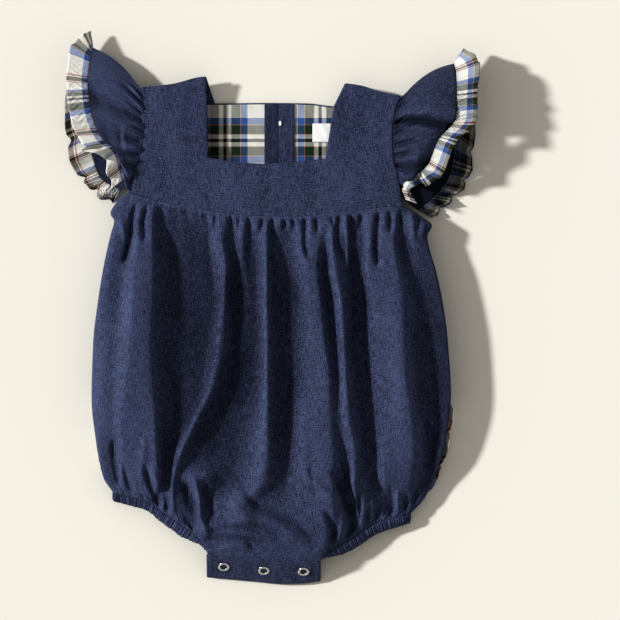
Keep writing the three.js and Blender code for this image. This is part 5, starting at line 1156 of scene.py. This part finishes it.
spots = np.empty(len(button.data.vertices) * 3)
button.data.vertices.foreach_get("co", spots)
spots = spots.reshape(-1, 3)
spots[:, 0] = BUTTON_X * MM + (spots[:, 0] - BUTTON_X * MM) * BUTTON_SQUASH
button.data.vertices.foreach_set("co", spots.ravel())


# Flutter sleeves: a band of denim gathered into each armhole, from the back of the underarm over
# the shoulder fold to the front. It stands open like a bell between its back and its front.
SLEEVE_WALL = 1.2
SLEEVE_LEFT = [  # s, arm, x, y, z, hemX, hemY, hemZ
    (0.0, 99, -124, 96, 4, -130, 84, 3.4), (0.14, 116, -139, 105, 4, -151, 98, 3.4),
    (0.28, 142, -148, 134, 4.5, -166, 126, 3.4), (0.4, 168, -150, 176, 6, -169, 168, 4.5),
    (0.5, 179, -146, 211, 13, -149, 225, 12), (0.58, 170, -147.5, 203, 22, -163.5, 212, 22),
    (0.68, 154, -149.5, 184, 28, -167, 186, 31), (0.78, 138, -147, 160, 30, -164, 157, 34),
    (0.87, 121, -138, 137, 28, -155, 135, 33), (0.94, 108, -125, 126, 25, -134, 120, 29),
    (1.0, 97, -119.5, 105, 20, -127.5, 99, 20),
]
SLEEVE_RIGHT = [
    (0.0, 90, 120, 79.5, 4, 131, 73, 3.4), (0.14, 106, 133, 90, 4, 147, 87, 3.4),
    (0.28, 130, 147, 112, 4.5, 162, 108, 3.4), (0.4, 158, 151, 158, 6, 166, 146, 4.5),
    (0.5, 172, 149, 198, 15, 158, 210, 16), (0.58, 164, 150.5, 191, 30, 170, 198, 32),
    (0.68, 150, 151, 174, 38, 168, 176, 40), (0.78, 136, 150, 153, 38, 167, 154, 40.5),
    (0.87, 122, 136, 136, 33, 149, 131, 37), (0.94, 112, 127, 115, 27, 139, 108, 30),
    (1.0, 102, 115, 106, 20, 121, 99, 21), (1.02, 98, 110, 103.5, 21, 115, 98, 22.5),
    (1.045, 94, 107, 95, 21, 114, 93, 22.5), (1.07, 90, 109.5, 87.5, 20, 118.5, 85, 21),
]
SLEEVE_PUFF = {-1: (3.5, 0.8), 1: (7, 1)}
# Painted light on each whole sleeve: the left one lighter, the right one darker.
SLEEVE_PAINTED_LIGHT = {-1: 0.4, 1: -0.25}
SLEEVE_BOW = 5
SLEEVE_GATHERS = 11
TURN_FROM, TURN_TO = 0.455, 0.545
ARMHOLE_GAP_BACK, ARMHOLE_GAP_FRONT, SHOULDER_REACH = 0.75, 0.38, 1.6
SLEEVE_CUT, SLEEVE_CLOTH_SHARE = (0.30, 0.06), 0.9
FINE_SLEEVE_GATHERS = 29


def sleeve_lines(table):
    return [smooth_line([(row[0], row[k]) for row in table]) for k in range(1, 8)]


def armhole_side(y, side):
    return armhole_left(y) if side < 0 else armhole_right(y)


def armhole_place(s, y, side):
    """Where the sleeve starts: beside the back yoke, round the shoulder, then the front yoke."""
    x = armhole_side(y, side)
    back_z, slope = back_yoke_place(x, y)
    turned_share = ease((s - TURN_FROM) / (TURN_TO - TURN_FROM))
    off = mix(ARMHOLE_GAP_BACK, ARMHOLE_GAP_FRONT, turned_share)
    off = off + SHOULDER_REACH * np.sin(math.pi * turned_share)
    level = np.where(s <= TURN_FROM, 1 / np.hypot(1, slope), 1)
    z = mix(back_z, armhole_height(y), turned_share) + off * (1 - turned_share) * slope * level * 0.5
    facing = np.zeros((*np.shape(s), 3))
    angle = np.clip((s - TURN_FROM) / (TURN_TO - TURN_FROM), 0, 1) * math.pi - math.pi / 2
    on_back = s <= TURN_FROM
    facing[..., 0] = np.where(on_back, side * slope, side * np.cos(angle))
    facing[..., 1] = np.where(on_back, 0, 0.3 * np.cos(angle))
    facing[..., 2] = np.where(on_back, -1, np.sin(angle))
    return np.stack([x + side * off * level, y, z], -1), unit(facing)


def sleeve_base(lines, side, s, t):
    """The sleeve's middle: straight from the armhole to the ruffle's seam, with a soft puff."""
    arm, x, y, z = (line(s) for line in lines[:4])
    start = armhole_place(s, arm, side)[0]
    point = mix(start, np.stack([x, y, z], -1), t[..., None])
    height, lean = SLEEVE_PUFF[side]
    puff = height * np.sin(math.pi * np.clip(t, 0, 1) ** lean)
    point[..., 2] += puff * ease((s - 0.5) / 0.15) * ease((1.06 - s) / 0.16)
    fan = np.where(s > 0.5, np.cos(math.pi * (s - 0.5) / 0.5), ease((s - 0.3) / 0.2))
    point[..., 1] += SLEEVE_BOW * np.sin(math.pi * t) * fan
    return point


def looking_out(base, s, t, side):
    """The unit normal of a surface of s and t, from its two slopes."""
    step = 0.004
    along_s = base(np.minimum(s + step, np.max(s)), t) - base(np.maximum(s - step, 0), t)
    along_t = base(s, np.minimum(t + step, 1)) - base(s, np.maximum(t - step, 0))
    return unit(np.cross(along_s, along_t) * side)


def sleeve_facing(lines, side, s, t):
    """Where the sleeve's face looks: as the yoke does at the armhole, then as its own surface."""
    opened = looking_out(lambda a, b: sleeve_base(lines, side, a, b), s, np.clip(t, 0.05, 0.95), side)
    at_arm = armhole_place(s, lines[0](s), side)[1]
    return unit(mix(at_arm, opened, ease(t / 0.3)[..., None]))


# Creases of a sleeve: height, s at the armhole, s at the seam, half width in s, t from, t to
LEFT_CREASES = [
    (-1.6, 0.575, 0.56, 0.010, 0, 0.3), (1.3, 0.595, 0.585, 0.011, 0, 0.35),
    (-2.2, 0.615, 0.61, 0.012, 0, 0.5), (1.2, 0.645, 0.65, 0.012, 0, 0.3),
    (-2.4, 0.668, 0.68, 0.011, 0, 0.35), (-3.2, 0.70, 0.735, 0.024, 0, 1.1),
    (1.4, 0.735, 0.76, 0.012, 0, 0.4), (-2.2, 0.755, 0.77, 0.010, 0, 0.3),
    (1.2, 0.78, 0.80, 0.012, 0, 0.35), (-2.8, 0.80, 0.825, 0.013, 0, 0.55),
    (-2.4, 0.80, 0.845, 0.03, 0.35, 1.0), (1.5, 0.83, 0.85, 0.012, 0, 0.4),
    (-2.6, 0.855, 0.88, 0.012, 0, 0.6), (1.4, 0.88, 0.89, 0.012, 0, 0.5), (-3.4, 0.91, 0.93, 0.018, 0, 0.9),
    (1.6, 0.945, 0.95, 0.012, 0, 0.8), (-2.2, 0.97, 0.975, 0.012, 0, 0.8),
]
RIGHT_CREASES = [
    (-1.4, 0.555, 0.55, 0.010, 0, 0.3), (1.0, 0.58, 0.575, 0.012, 0, 0.4),
    (-1.2, 0.605, 0.61, 0.010, 0, 0.25),
    (2.6, 0.648, 0.765, 0.022, 0, 1.5), (-6.5, 0.678, 0.815, 0.013, 0, 1.6),
    (1.8, 0.705, 0.84, 0.014, 0.1, 0.9),
    (-2.6, 0.722, 0.75, 0.010, 0, 0.35), (1.4, 0.738, 0.77, 0.010, 0, 0.4), (-3.0, 0.75, 0.71, 0.012, 0, 0.5),
    (1.5, 0.785, 0.80, 0.012, 0, 0.5), (-2.6, 0.81, 0.80, 0.012, 0, 0.45), (1.2, 0.835, 0.85, 0.010, 0, 0.3),
    (-2.6, 0.86, 0.87, 0.012, 0, 0.5), (1.6, 0.885, 0.90, 0.014, 0, 0.8), (-4.0, 0.915, 0.94, 0.016, 0, 1.2),
    (1.6, 0.95, 0.96, 0.012, 0, 0.8),
]


def sleeve(name, node, table, side, creases):
    """The sleeve's grid: s round the armhole from the back of the underarm to the front, and t
    from the armhole (0) to the ruffle's seam (1). Gives back its lines for the ruffle."""
    lines = sleeve_lines(table)
    stations = spread((0, TURN_FROM, 60), (TURN_FROM, TURN_TO, 24), (TURN_TO, 1, 300))
    s, t = np.meshgrid(stations, spread((0, 0.2, 14), (0.2, 1, 40)))
    facing = sleeve_facing(lines, side, s, t)
    front_share = (s - TURN_TO) / (1 - TURN_TO)
    wave = np.sin(2 * math.pi * SLEEVE_GATHERS * front_share)
    swell = 0.5 * wave * ease(t / 0.12) * ease(front_share / 0.09) * ease((1 - s) / 0.04) * np.exp(-t / 0.3)
    for height, s_from, s_to, width, t_from, t_to in creases:
        gap = (s - mix(s_from, s_to, t)) / (width * (1 + 0.6 * t))
        begun = ease((t - t_from) / 0.1 + (0.2 if t_from == 0 else 0))
        swell = swell + height * np.exp(-(gap**2)) * begun * ease((t_to - t) / 0.3)
    fine = np.sin(2 * math.pi * FINE_SLEEVE_GATHERS * front_share + 1.4 * np.sin(14 * front_share))
    swell = swell + fine * np.exp(-t / 0.14) * ease(front_share / 0.05) * ease((1 - s) / 0.03)
    outer = sleeve_base(lines, side, s, t) + facing * (SLEEVE_WALL / 2 + swell * ease(t / 0.05))[..., None]
    outer[..., 2] = np.maximum(outer[..., 2], SHELL + 0.3)
    uv = np.stack([s * SLEEVE_CUT[0], t * SLEEVE_CUT[1] * SLEEVE_CLOTH_SHARE], -1)
    # Painted light and shade on the sleeve: lighter on the crests and darker in the creases, partly wear and
    # partly painted shade; painted shade in the deepest creases and over the back part under the front;
    # darker along both seams; and each sleeve's own painted light.
    seams = np.exp(-t / 0.02) + ease((t - 0.965) / 0.025)
    wear_and_painted_light = np.clip(swell * 0.07, -0.45, 0.15) + SLEEVE_PAINTED_LIGHT[side] - 0.12 * np.clip(-swell - 3, 0, 4)
    fade = wear_and_painted_light - 0.35 * seams - 0.6 * ease((TURN_FROM - s) / 0.05)
    piece = cloth_shell(name, denim, outer, facing, SHELL, uv, fade)
    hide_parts(node)
    return lines


left_lines = sleeve("denim_sleeve_left", "sleeve_left", SLEEVE_LEFT, -1, LEFT_CREASES)
right_lines = sleeve("denim_sleeve_right", "sleeve_right", SLEEVE_RIGHT, 1, RIGHT_CREASES)


# Ruffles of the sleeves: a doubled strip of the check, gathered unevenly and sewn to the sleeve's
# edge. Its free edge lies in soft waves over the shoulder and folds over itself at the underarm.
RUFFLE_WALL = 1.1
RUFFLE_SHELL = 0.8
RUFFLE_WAVES, RUFFLE_WAVE_HEIGHT = 20, 0.95
RUFFLE_GATHER_HEIGHT, RUFFLE_CRUMPLE_HEIGHT = 0.42, 0.5
# Painted light on each whole ruffle: the left one lighter, the right one darker.
RUFFLE_PAINTED_LIGHT = {-1: 0.08, 1: -0.07}
RUFFLE_SEAM, RUFFLE_BACK_END = 0.4, 0.44
# Where the check's black (even) and brown (odd) lines cross the strip, in half repeats: s, line
CHECK_ON_LEFT = [
    (0.0, -6.4), (0.055, -5.4), (0.115, -5), (0.17, -4), (0.255, -3), (0.33, -2), (0.43, -1), (0.53, 0),
    (0.68, 1), (0.74, 2), (0.845, 3), (0.905, 4), (0.975, 5), (1.0, 5.4),
]
CHECK_ON_RIGHT = [
    (0.0, -5.3), (0.08, -4.5), (0.14, -4), (0.22, -3), (0.30, -2), (0.37, -1), (0.46, 0), (0.57, 1),
    (0.69, 2), (0.81, 3), (0.86, 4), (0.93, 5), (0.975, 6), (1.055, 7), (1.07, 7.2),
]
# Large waves of the free edge: s, half width in s, up, out, along the edge, in millimetres
WAVES_LEFT = [
    (0.02, 0.018, 2.0, -2.0, 0), (0.06, 0.02, 5.0, 2.0, 0),
    (0.10, 0.012, -1.0, -4.5, 0), (0.14, 0.02, 5.5, -1.0, 2),
    (0.18, 0.012, -1.0, -4.0, 0), (0.25, 0.03, 5.0, 0.5, 0),
    (0.312, 0.012, -1.0, -3.5, 0), (0.35, 0.02, 4.0, 0.5, 0),
    (0.535, 0.012, 2.2, 0.5, 0), (0.56, 0.01, -1.8, -0.8, 0),
    (0.585, 0.012, 1.8, 0.6, 0), (0.64, 0.02, 0.9, -0.6, 0),
    (0.705, 0.012, -1.8, -1.0, 0), (0.74, 0.014, 1.3, 0.3, 0),
    (0.775, 0.012, -1.4, -0.6, 0), (0.82, 0.016, 1.2, 0.8, 0),
    (0.862, 0.01, -2.2, -0.5, -2), (0.885, 0.009, 4.0, 3.0, 3),
    (0.905, 0.009, -3.5, 6.0, -4), (0.925, 0.009, 3.6, 3.0, 4),
    (0.942, 0.007, -2.0, -1.0, 0), (0.965, 0.016, 1.5, 5.5, 0),
    (0.98, 0.006, -1.2, 0, 0), (1.0, 0.012, 1.0, 3.5, 0),
]
WAVES_RIGHT = [
    (0.03, 0.018, 3.0, 1.5, 0), (0.075, 0.01, -1.5, -3.0, 0),
    (0.12, 0.018, 5.0, 1.5, 0), (0.165, 0.009, -1.5, -3.0, 0),
    (0.21, 0.018, 5.5, 2.0, 0), (0.255, 0.009, -1.5, -3.0, 0),
    (0.30, 0.018, 4.5, 1.5, 0), (0.345, 0.009, -1.0, -2.5, 0),
    (0.39, 0.018, 3.5, 1.0, 0), (0.54, 0.012, 2.6, 0.8, 3),
    (0.565, 0.01, -2.2, -1.0, 0), (0.60, 0.016, 1.6, 0.3, 0),
    (0.66, 0.010, -1.6, -0.8, 0), (0.69, 0.010, 1.8, -0.2, 0),
    (0.715, 0.009, -1.6, -0.4, 0), (0.75, 0.014, 1.2, 0.4, 0),
    (0.79, 0.010, -3.0, 0.5, -2), (0.815, 0.010, 4.0, 2.5, 4),
    (0.845, 0.010, -2.0, -1.5, 0), (0.875, 0.012, 2.6, 0.6, 0),
    (0.905, 0.010, -1.6, -0.5, 0), (0.93, 0.010, 2.4, 1.0, 0),
    (0.955, 0.007, -2.8, 1.5, -2), (0.975, 0.009, 3.0, 2.5, 3),
    (0.997, 0.007, -2.5, -2.5, 0), (1.018, 0.009, 3.2, 1.5, 0),
    (1.04, 0.008, -1.0, -1.5, 0), (1.07, 0.012, 2.0, 1.0, 0),
]


def ruffle(name, node, lines, side, waves, check_lines, cloth_back, cloth_front, shade):
    """The ruffle's grid: from the sleeve's seam (t = 0) to its free edge (t = 1). Small gathers
    ride on the large waves and die out from the seam; the check follows its own crossings."""
    end = waves[-1][0]
    s, t = np.meshgrid(spread((0, RUFFLE_BACK_END, 180), (RUFFLE_BACK_END, end, 400)), spread((0, 1, 18)))

    def base(s, t):
        seam = np.stack([line(s) for line in lines[1:4]], -1)
        hem = np.stack([line(s) for line in lines[4:7]], -1)
        return mix(seam, hem, t[..., None])

    seam_facing = sleeve_facing(lines, side, s, np.ones_like(t))
    free_facing = looking_out(base, s, np.full_like(t, 0.5), side)
    facing = unit(mix(seam_facing, free_facing, ease(t / 0.5)[..., None]))
    outward = base(s, np.ones_like(t)) - base(s, np.zeros_like(t))
    width = np.linalg.norm(outward, axis=-1)
    outward /= width[..., None]
    point = base(s, mix(RUFFLE_SEAM / width, 1, t))
    along = unit(base(np.minimum(s + 0.004, end), t) - base(np.maximum(s - 0.004, 0), t))
    on_back = ease((0.5 - s) / 0.06)
    up = mix(facing, np.array([0, 0, 1.0]), on_back[..., None])
    bend = t**1.25
    for place, half_width, rise, out, sway in waves:
        bell = (np.exp(-(((s - place) / half_width) ** 2)) * bend)[..., None]
        point = point + bell * (rise * up + out * outward * t[..., None] + sway * along)
    phase = 2 * math.pi * RUFFLE_WAVES * s + 1.3 * np.sin(17 * s) + 0.8 * np.sin(41 * s)
    small = RUFFLE_WAVE_HEIGHT * np.sin(phase) * t * (0.55 + 0.45 * np.sin(23 * s + 2))
    fine = np.sin(2.3 * phase + 2 * np.sin(5 * s)) * ease(t / 0.1) * np.exp(-t / 0.35)
    fine = RUFFLE_GATHER_HEIGHT * fine
    crumple = np.sin(2 * math.pi * (62 * s + 1.1 * t + 0.5 * np.sin(7 * t + 31 * s)))
    crumple = crumple * np.sin(math.pi * (2.4 * t + np.sin(37 * s)))
    crumple = RUFFLE_CRUMPLE_HEIGHT * crumple * (0.6 + 0.4 * np.sin(19 * s))
    outer = point + facing * (RUFFLE_WALL / 2 + small + fine + crumple)[..., None]
    outer[..., 2] = np.maximum(outer[..., 2], RUFFLE_SHELL + 0.05)
    strip = smooth_line(check_lines)(s) * CHECK_HALF * MM
    cut = mix(cloth_front[0] + cloth_front[1] * t, cloth_back[0] + cloth_back[1] * t, on_back)
    # Painted light and shade on the ruffle: each side's own painted light, painted shade along the gathered
    # seam and over the back part (by shade), lighter on the crests of the small waves and darker in the
    # crumples.
    fade = RUFFLE_PAINTED_LIGHT[side] - 0.35 * np.exp(-t / 0.07) - shade * on_back
    fade = fade + 0.05 * small + 0.4 * np.minimum(crumple, 0)
    piece = cloth_shell(name, check, outer, facing, RUFFLE_SHELL, np.stack([strip, cut], -1), fade)
    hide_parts(node)


ruffle("check_ruffle_left", "sleeve_ruffle_left", left_lines, -1, WAVES_LEFT, CHECK_ON_LEFT,
       (0.021, 0.02), (0.0125, 0.021), 0.12)
ruffle("check_ruffle_right", "sleeve_ruffle_right", right_lines, 1, WAVES_RIGHT, CHECK_ON_RIGHT,
       (0.020, -0.02), (0.029, -0.021), 0.5)


# Seat ruffles: three rows of the check across the seat, pressed flat under the garment. Only
# their ends show past the right side seam.
SEAT_WALL = 1.2
SEAT_RUFFLES = [  # row, from and to down the back, how far its end shows, place on the check
    ("upper", 0.645, 0.729, 4.2, 0.041), ("middle", 0.732, 0.834, 3.8, 0.058),
    ("lower", 0.837, 0.925, 2.6, 0.094),
]
SEAT_REACH = 0.972
# The ends that show are lightened with painted light, though they lie in the body's shadow.
SEAT_CHECK_X, SEAT_CHECK_SQUEEZE, SEAT_PAINTED_LIGHT = 136, 0.75, 0.3
seat_columns = spread(
    (-SEAT_REACH, -ROUND_FROM, 10), (-ROUND_FROM, ROUND_FROM, 90), (ROUND_FROM, SEAT_REACH, 40),
)
for row, top, hem, peep, pattern in SEAT_RUFFLES:
    u, v = np.meshgrid(seat_columns, spread((top, hem, 26)))
    a = back_base(u, v)
    off = BACK_WALL / 2 + SEAM_GAP - 0.02 + SEAT_WALL / 2
    facing = a["facing"]
    middle = np.stack([a["x"], a["y"], a["z"]], -1)
    far = ease((u - 0.9) / 0.07)
    share = (v - top) / (hem - top)
    wave = (0.8 + 0.2 * np.sin(9 * share + 1)) * np.sin(math.pi * np.clip(share, 0, 1)) ** 0.6
    peeping = peep * far * (0.3 + 0.8 * wave)
    proud = np.stack([peeping, 0.4 * far * np.sin(11 * share), -0.1 * far * a["z"]], -1)
    outer = middle + facing * (off + SEAT_WALL / 2) + proud
    outer[..., 2] = np.maximum(outer[..., 2], FLOOR_GAP)
    uv = np.stack([(a["x"] + SEAT_CHECK_X) * MM, a["y"] * SEAT_CHECK_SQUEEZE * MM + pattern], -1)
    piece = cloth_shell(f"check_seat_ruffle_{row}", check, outer, facing, RUFFLE_SHELL, uv, SEAT_PAINTED_LIGHT * far)
    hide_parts(f"seat_ruffle_{row}")


# Stitching: rows of lock stitches in indigo thread, sunk a little into the cloth: along the yoke
# seam, round the neck, inside the armholes and round the crotch tab.
THREAD_RADIUS = 0.2
STITCH_PITCH, STITCH_LENGTH, STITCH_PROUD = 2.7, 2.1, 0.08
# Each stitch from end to end: share of its length, girth in thread radii, rise in millimetres
STITCH_STATIONS = np.array([
    (0, 0.15, -0.16), (0.12, 0.8, 0), (0.5, 1, 0.1), (0.88, 0.8, 0), (1, 0.15, -0.16),
])
thread, tree, shader = surface("Indigo thread", {"Roughness": 0.6})
strands = grain(tree, scale=4000, detail=2, roughness=0.5)
colour = blend(tree, strands, (0.03, 0.037, 0.08, 1), (0.10, 0.12, 0.21, 1))
tree.links.new(colour, shader.inputs["Base Color"])


def stitches(name, path):
    """A row of stitches along a path of points in millimetres: each is a short lens of thread,
    six-sided, laid along the path and rising a little at its middle."""
    path = np.asarray(path, float)
    far = np.concatenate([[0], np.cumsum(np.linalg.norm(np.diff(path, axis=0), axis=1))])
    starts = np.arange(0.4, far[-1] - STITCH_LENGTH, STITCH_PITCH)
    ends = np.stack([starts, starts + STITCH_LENGTH])
    a, b = (np.stack([np.interp(e, far, path[:, k]) for k in range(3)], -1) for e in ends)
    along = unit(b - a)
    side = unit(np.cross(along, (0, 0, 1)))
    up = np.cross(side, along)
    shares, girth, rise = STITCH_STATIONS.T
    girth = girth * THREAD_RADIUS
    turn = np.linspace(0, 2 * math.pi, 6, endpoint=False)
    ring = np.cos(turn)[:, None, None] * side + np.sin(turn)[:, None, None] * up
    core = a[None] + (b - a)[None] * shares[:, None, None] + up[None] * rise[:, None, None]
    spots = core[:, None] + ring[None] * girth[:, None, None, None]
    spots = np.moveaxis(spots, 2, 0).reshape(len(starts), 30, 3)
    number = np.arange(30).reshape(5, 6)
    after = np.roll(number, -1, axis=1)
    quads = np.stack([number[:-1], number[1:], after[1:], after[:-1]], -1).reshape(-1, 4).tolist()
    faces = quads + [number[0].tolist(), number[-1][::-1].tolist()]
    whole = [[index + 30 * k for index in face] for k in range(len(starts)) for face in faces]
    mesh = bpy.data.meshes.new(name)
    mesh.from_pydata((spots * MM).reshape(-1, 3).tolist(), [], whole)
    mesh.polygons.foreach_set("use_smooth", np.ones(len(mesh.polygons), bool))
    piece = new_piece(name, mesh, thread)


YOKE_ROWS = [  # name, from, to, points, x and y at each place between
    ("thread_yoke_seam", SEAM_LEFT + 2.5, SEAM_RIGHT - 2.5, 160, lambda x: (x, yoke_seam(x) + 2.0)),
    ("thread_neckline", -50, 42.6, 80, lambda x: (x, neckline(x) - 2.2)),
    ("thread_strap_left", 123, 183, 60, lambda y: (neck_left(y) - 2.2, y)),
    ("thread_strap_right", 122, 177, 60, lambda y: (neck_right(y) + 2.2, y)),
    ("thread_armhole_left", 97, 175, 80, lambda y: (armhole_left(y) + FACING_WIDTH, y)),
    ("thread_armhole_right", 87, 169, 80, lambda y: (armhole_right(y) - FACING_WIDTH, y)),
]
for name, start, end, count, line in YOKE_ROWS:
    stitches(name, on_yoke(*line(np.linspace(start, end, count)), STITCH_PROUD))

tab_x = np.linspace(TAB_LEFT + 2, TAB_RIGHT - 2, 80)
for label, down in (("hem", 0.89), ("top", 0.09)):
    t = np.full_like(tab_x, down)
    point = tab_point((tab_x - TAB_LEFT) / (TAB_RIGHT - TAB_LEFT), t)
    point[..., 2] += TAB_WALL / 2 + tab_soft(tab_x, t) + STITCH_PROUD
    stitches(f"thread_tab_{label}", point)

band_y = np.linspace(100, 163, 50)
for label, band_x in (("left", PLACKET_LEFT + 2), ("right", PLACKET_RIGHT - 2)):
    x = np.full_like(band_y, band_x)
    band_z = back_yoke_place(x, band_y)[0] + PLACKET_MIDDLE + PLACKET_WALL / 2 + 0.1
    stitches(f"thread_band_{label}", np.stack([x, band_y, band_z], -1))


# The studio: a plain cream floor, a large soft light from the left and a little from above the
# picture, pale light all round, and a camera that looks straight down from far away.
FLOOR_COLOUR = (0.74, 0.735, 0.70)
PICTURE_CENTRE = (31.57, -2.87)
PICTURE_SIDE = 508.4
CAMERA_HEIGHT = 5.0
SENSOR = 36.0
FLOOR_HALF, FLOOR_LEVEL = 6.0, -0.0002
KEY_ENERGY, KEY_SPREAD, KEY_TOWARDS = 2.95, 5, (61.5, -12.3, -40.0)
SKY_COLOUR, SKY_STRENGTH = (1.0, 0.95, 0.88, 1), 0.38
floor_mesh = bpy.data.meshes.new("floor")
corners = [(x * FLOOR_HALF, y * FLOOR_HALF, FLOOR_LEVEL) for x, y in ((-1, -1), (1, -1), (1, 1), (-1, 1))]
floor_mesh.from_pydata(corners, [], [(0, 1, 2, 3)])
floor = bpy.data.objects.new("floor", floor_mesh)
bpy.context.collection.objects.link(floor)
paper = surface("Cream paper", {
    "Base Color": (*FLOOR_COLOUR, 1), "Roughness": 0.95, "Specular IOR Level": 0.1,
})[0]
floor_mesh.materials.append(paper)

light = bpy.data.lights.new("key", "SUN")
light.energy = KEY_ENERGY
light.angle = math.radians(KEY_SPREAD)
light.color = (1.0, 0.985, 0.95)
key = bpy.data.objects.new("key", light)
bpy.context.collection.objects.link(key)
across_x, across_y, down = unit(np.array(KEY_TOWARDS))
key.rotation_euler = (math.acos(-down), 0, math.atan2(across_y, across_x) - math.pi / 2)

world = bpy.data.worlds.new("studio")
world.use_nodes = True
sky = world.node_tree.nodes["Background"]
sky.inputs["Color"].default_value = SKY_COLOUR
sky.inputs["Strength"].default_value = SKY_STRENGTH
bpy.context.scene.world = world
bpy.context.scene.view_settings.view_transform = "Standard"
bpy.context.scene.view_settings.look = "High Contrast"

lens = bpy.data.cameras.new("camera")
lens.sensor_width = SENSOR
lens.lens = SENSOR * CAMERA_HEIGHT / (PICTURE_SIDE * MM)
lens.clip_end = 20
camera = bpy.data.objects.new("camera", lens)
bpy.context.collection.objects.link(camera)
camera.location = (PICTURE_CENTRE[0] * MM, PICTURE_CENTRE[1] * MM, CAMERA_HEIGHT)
bpy.context.scene.camera = camera
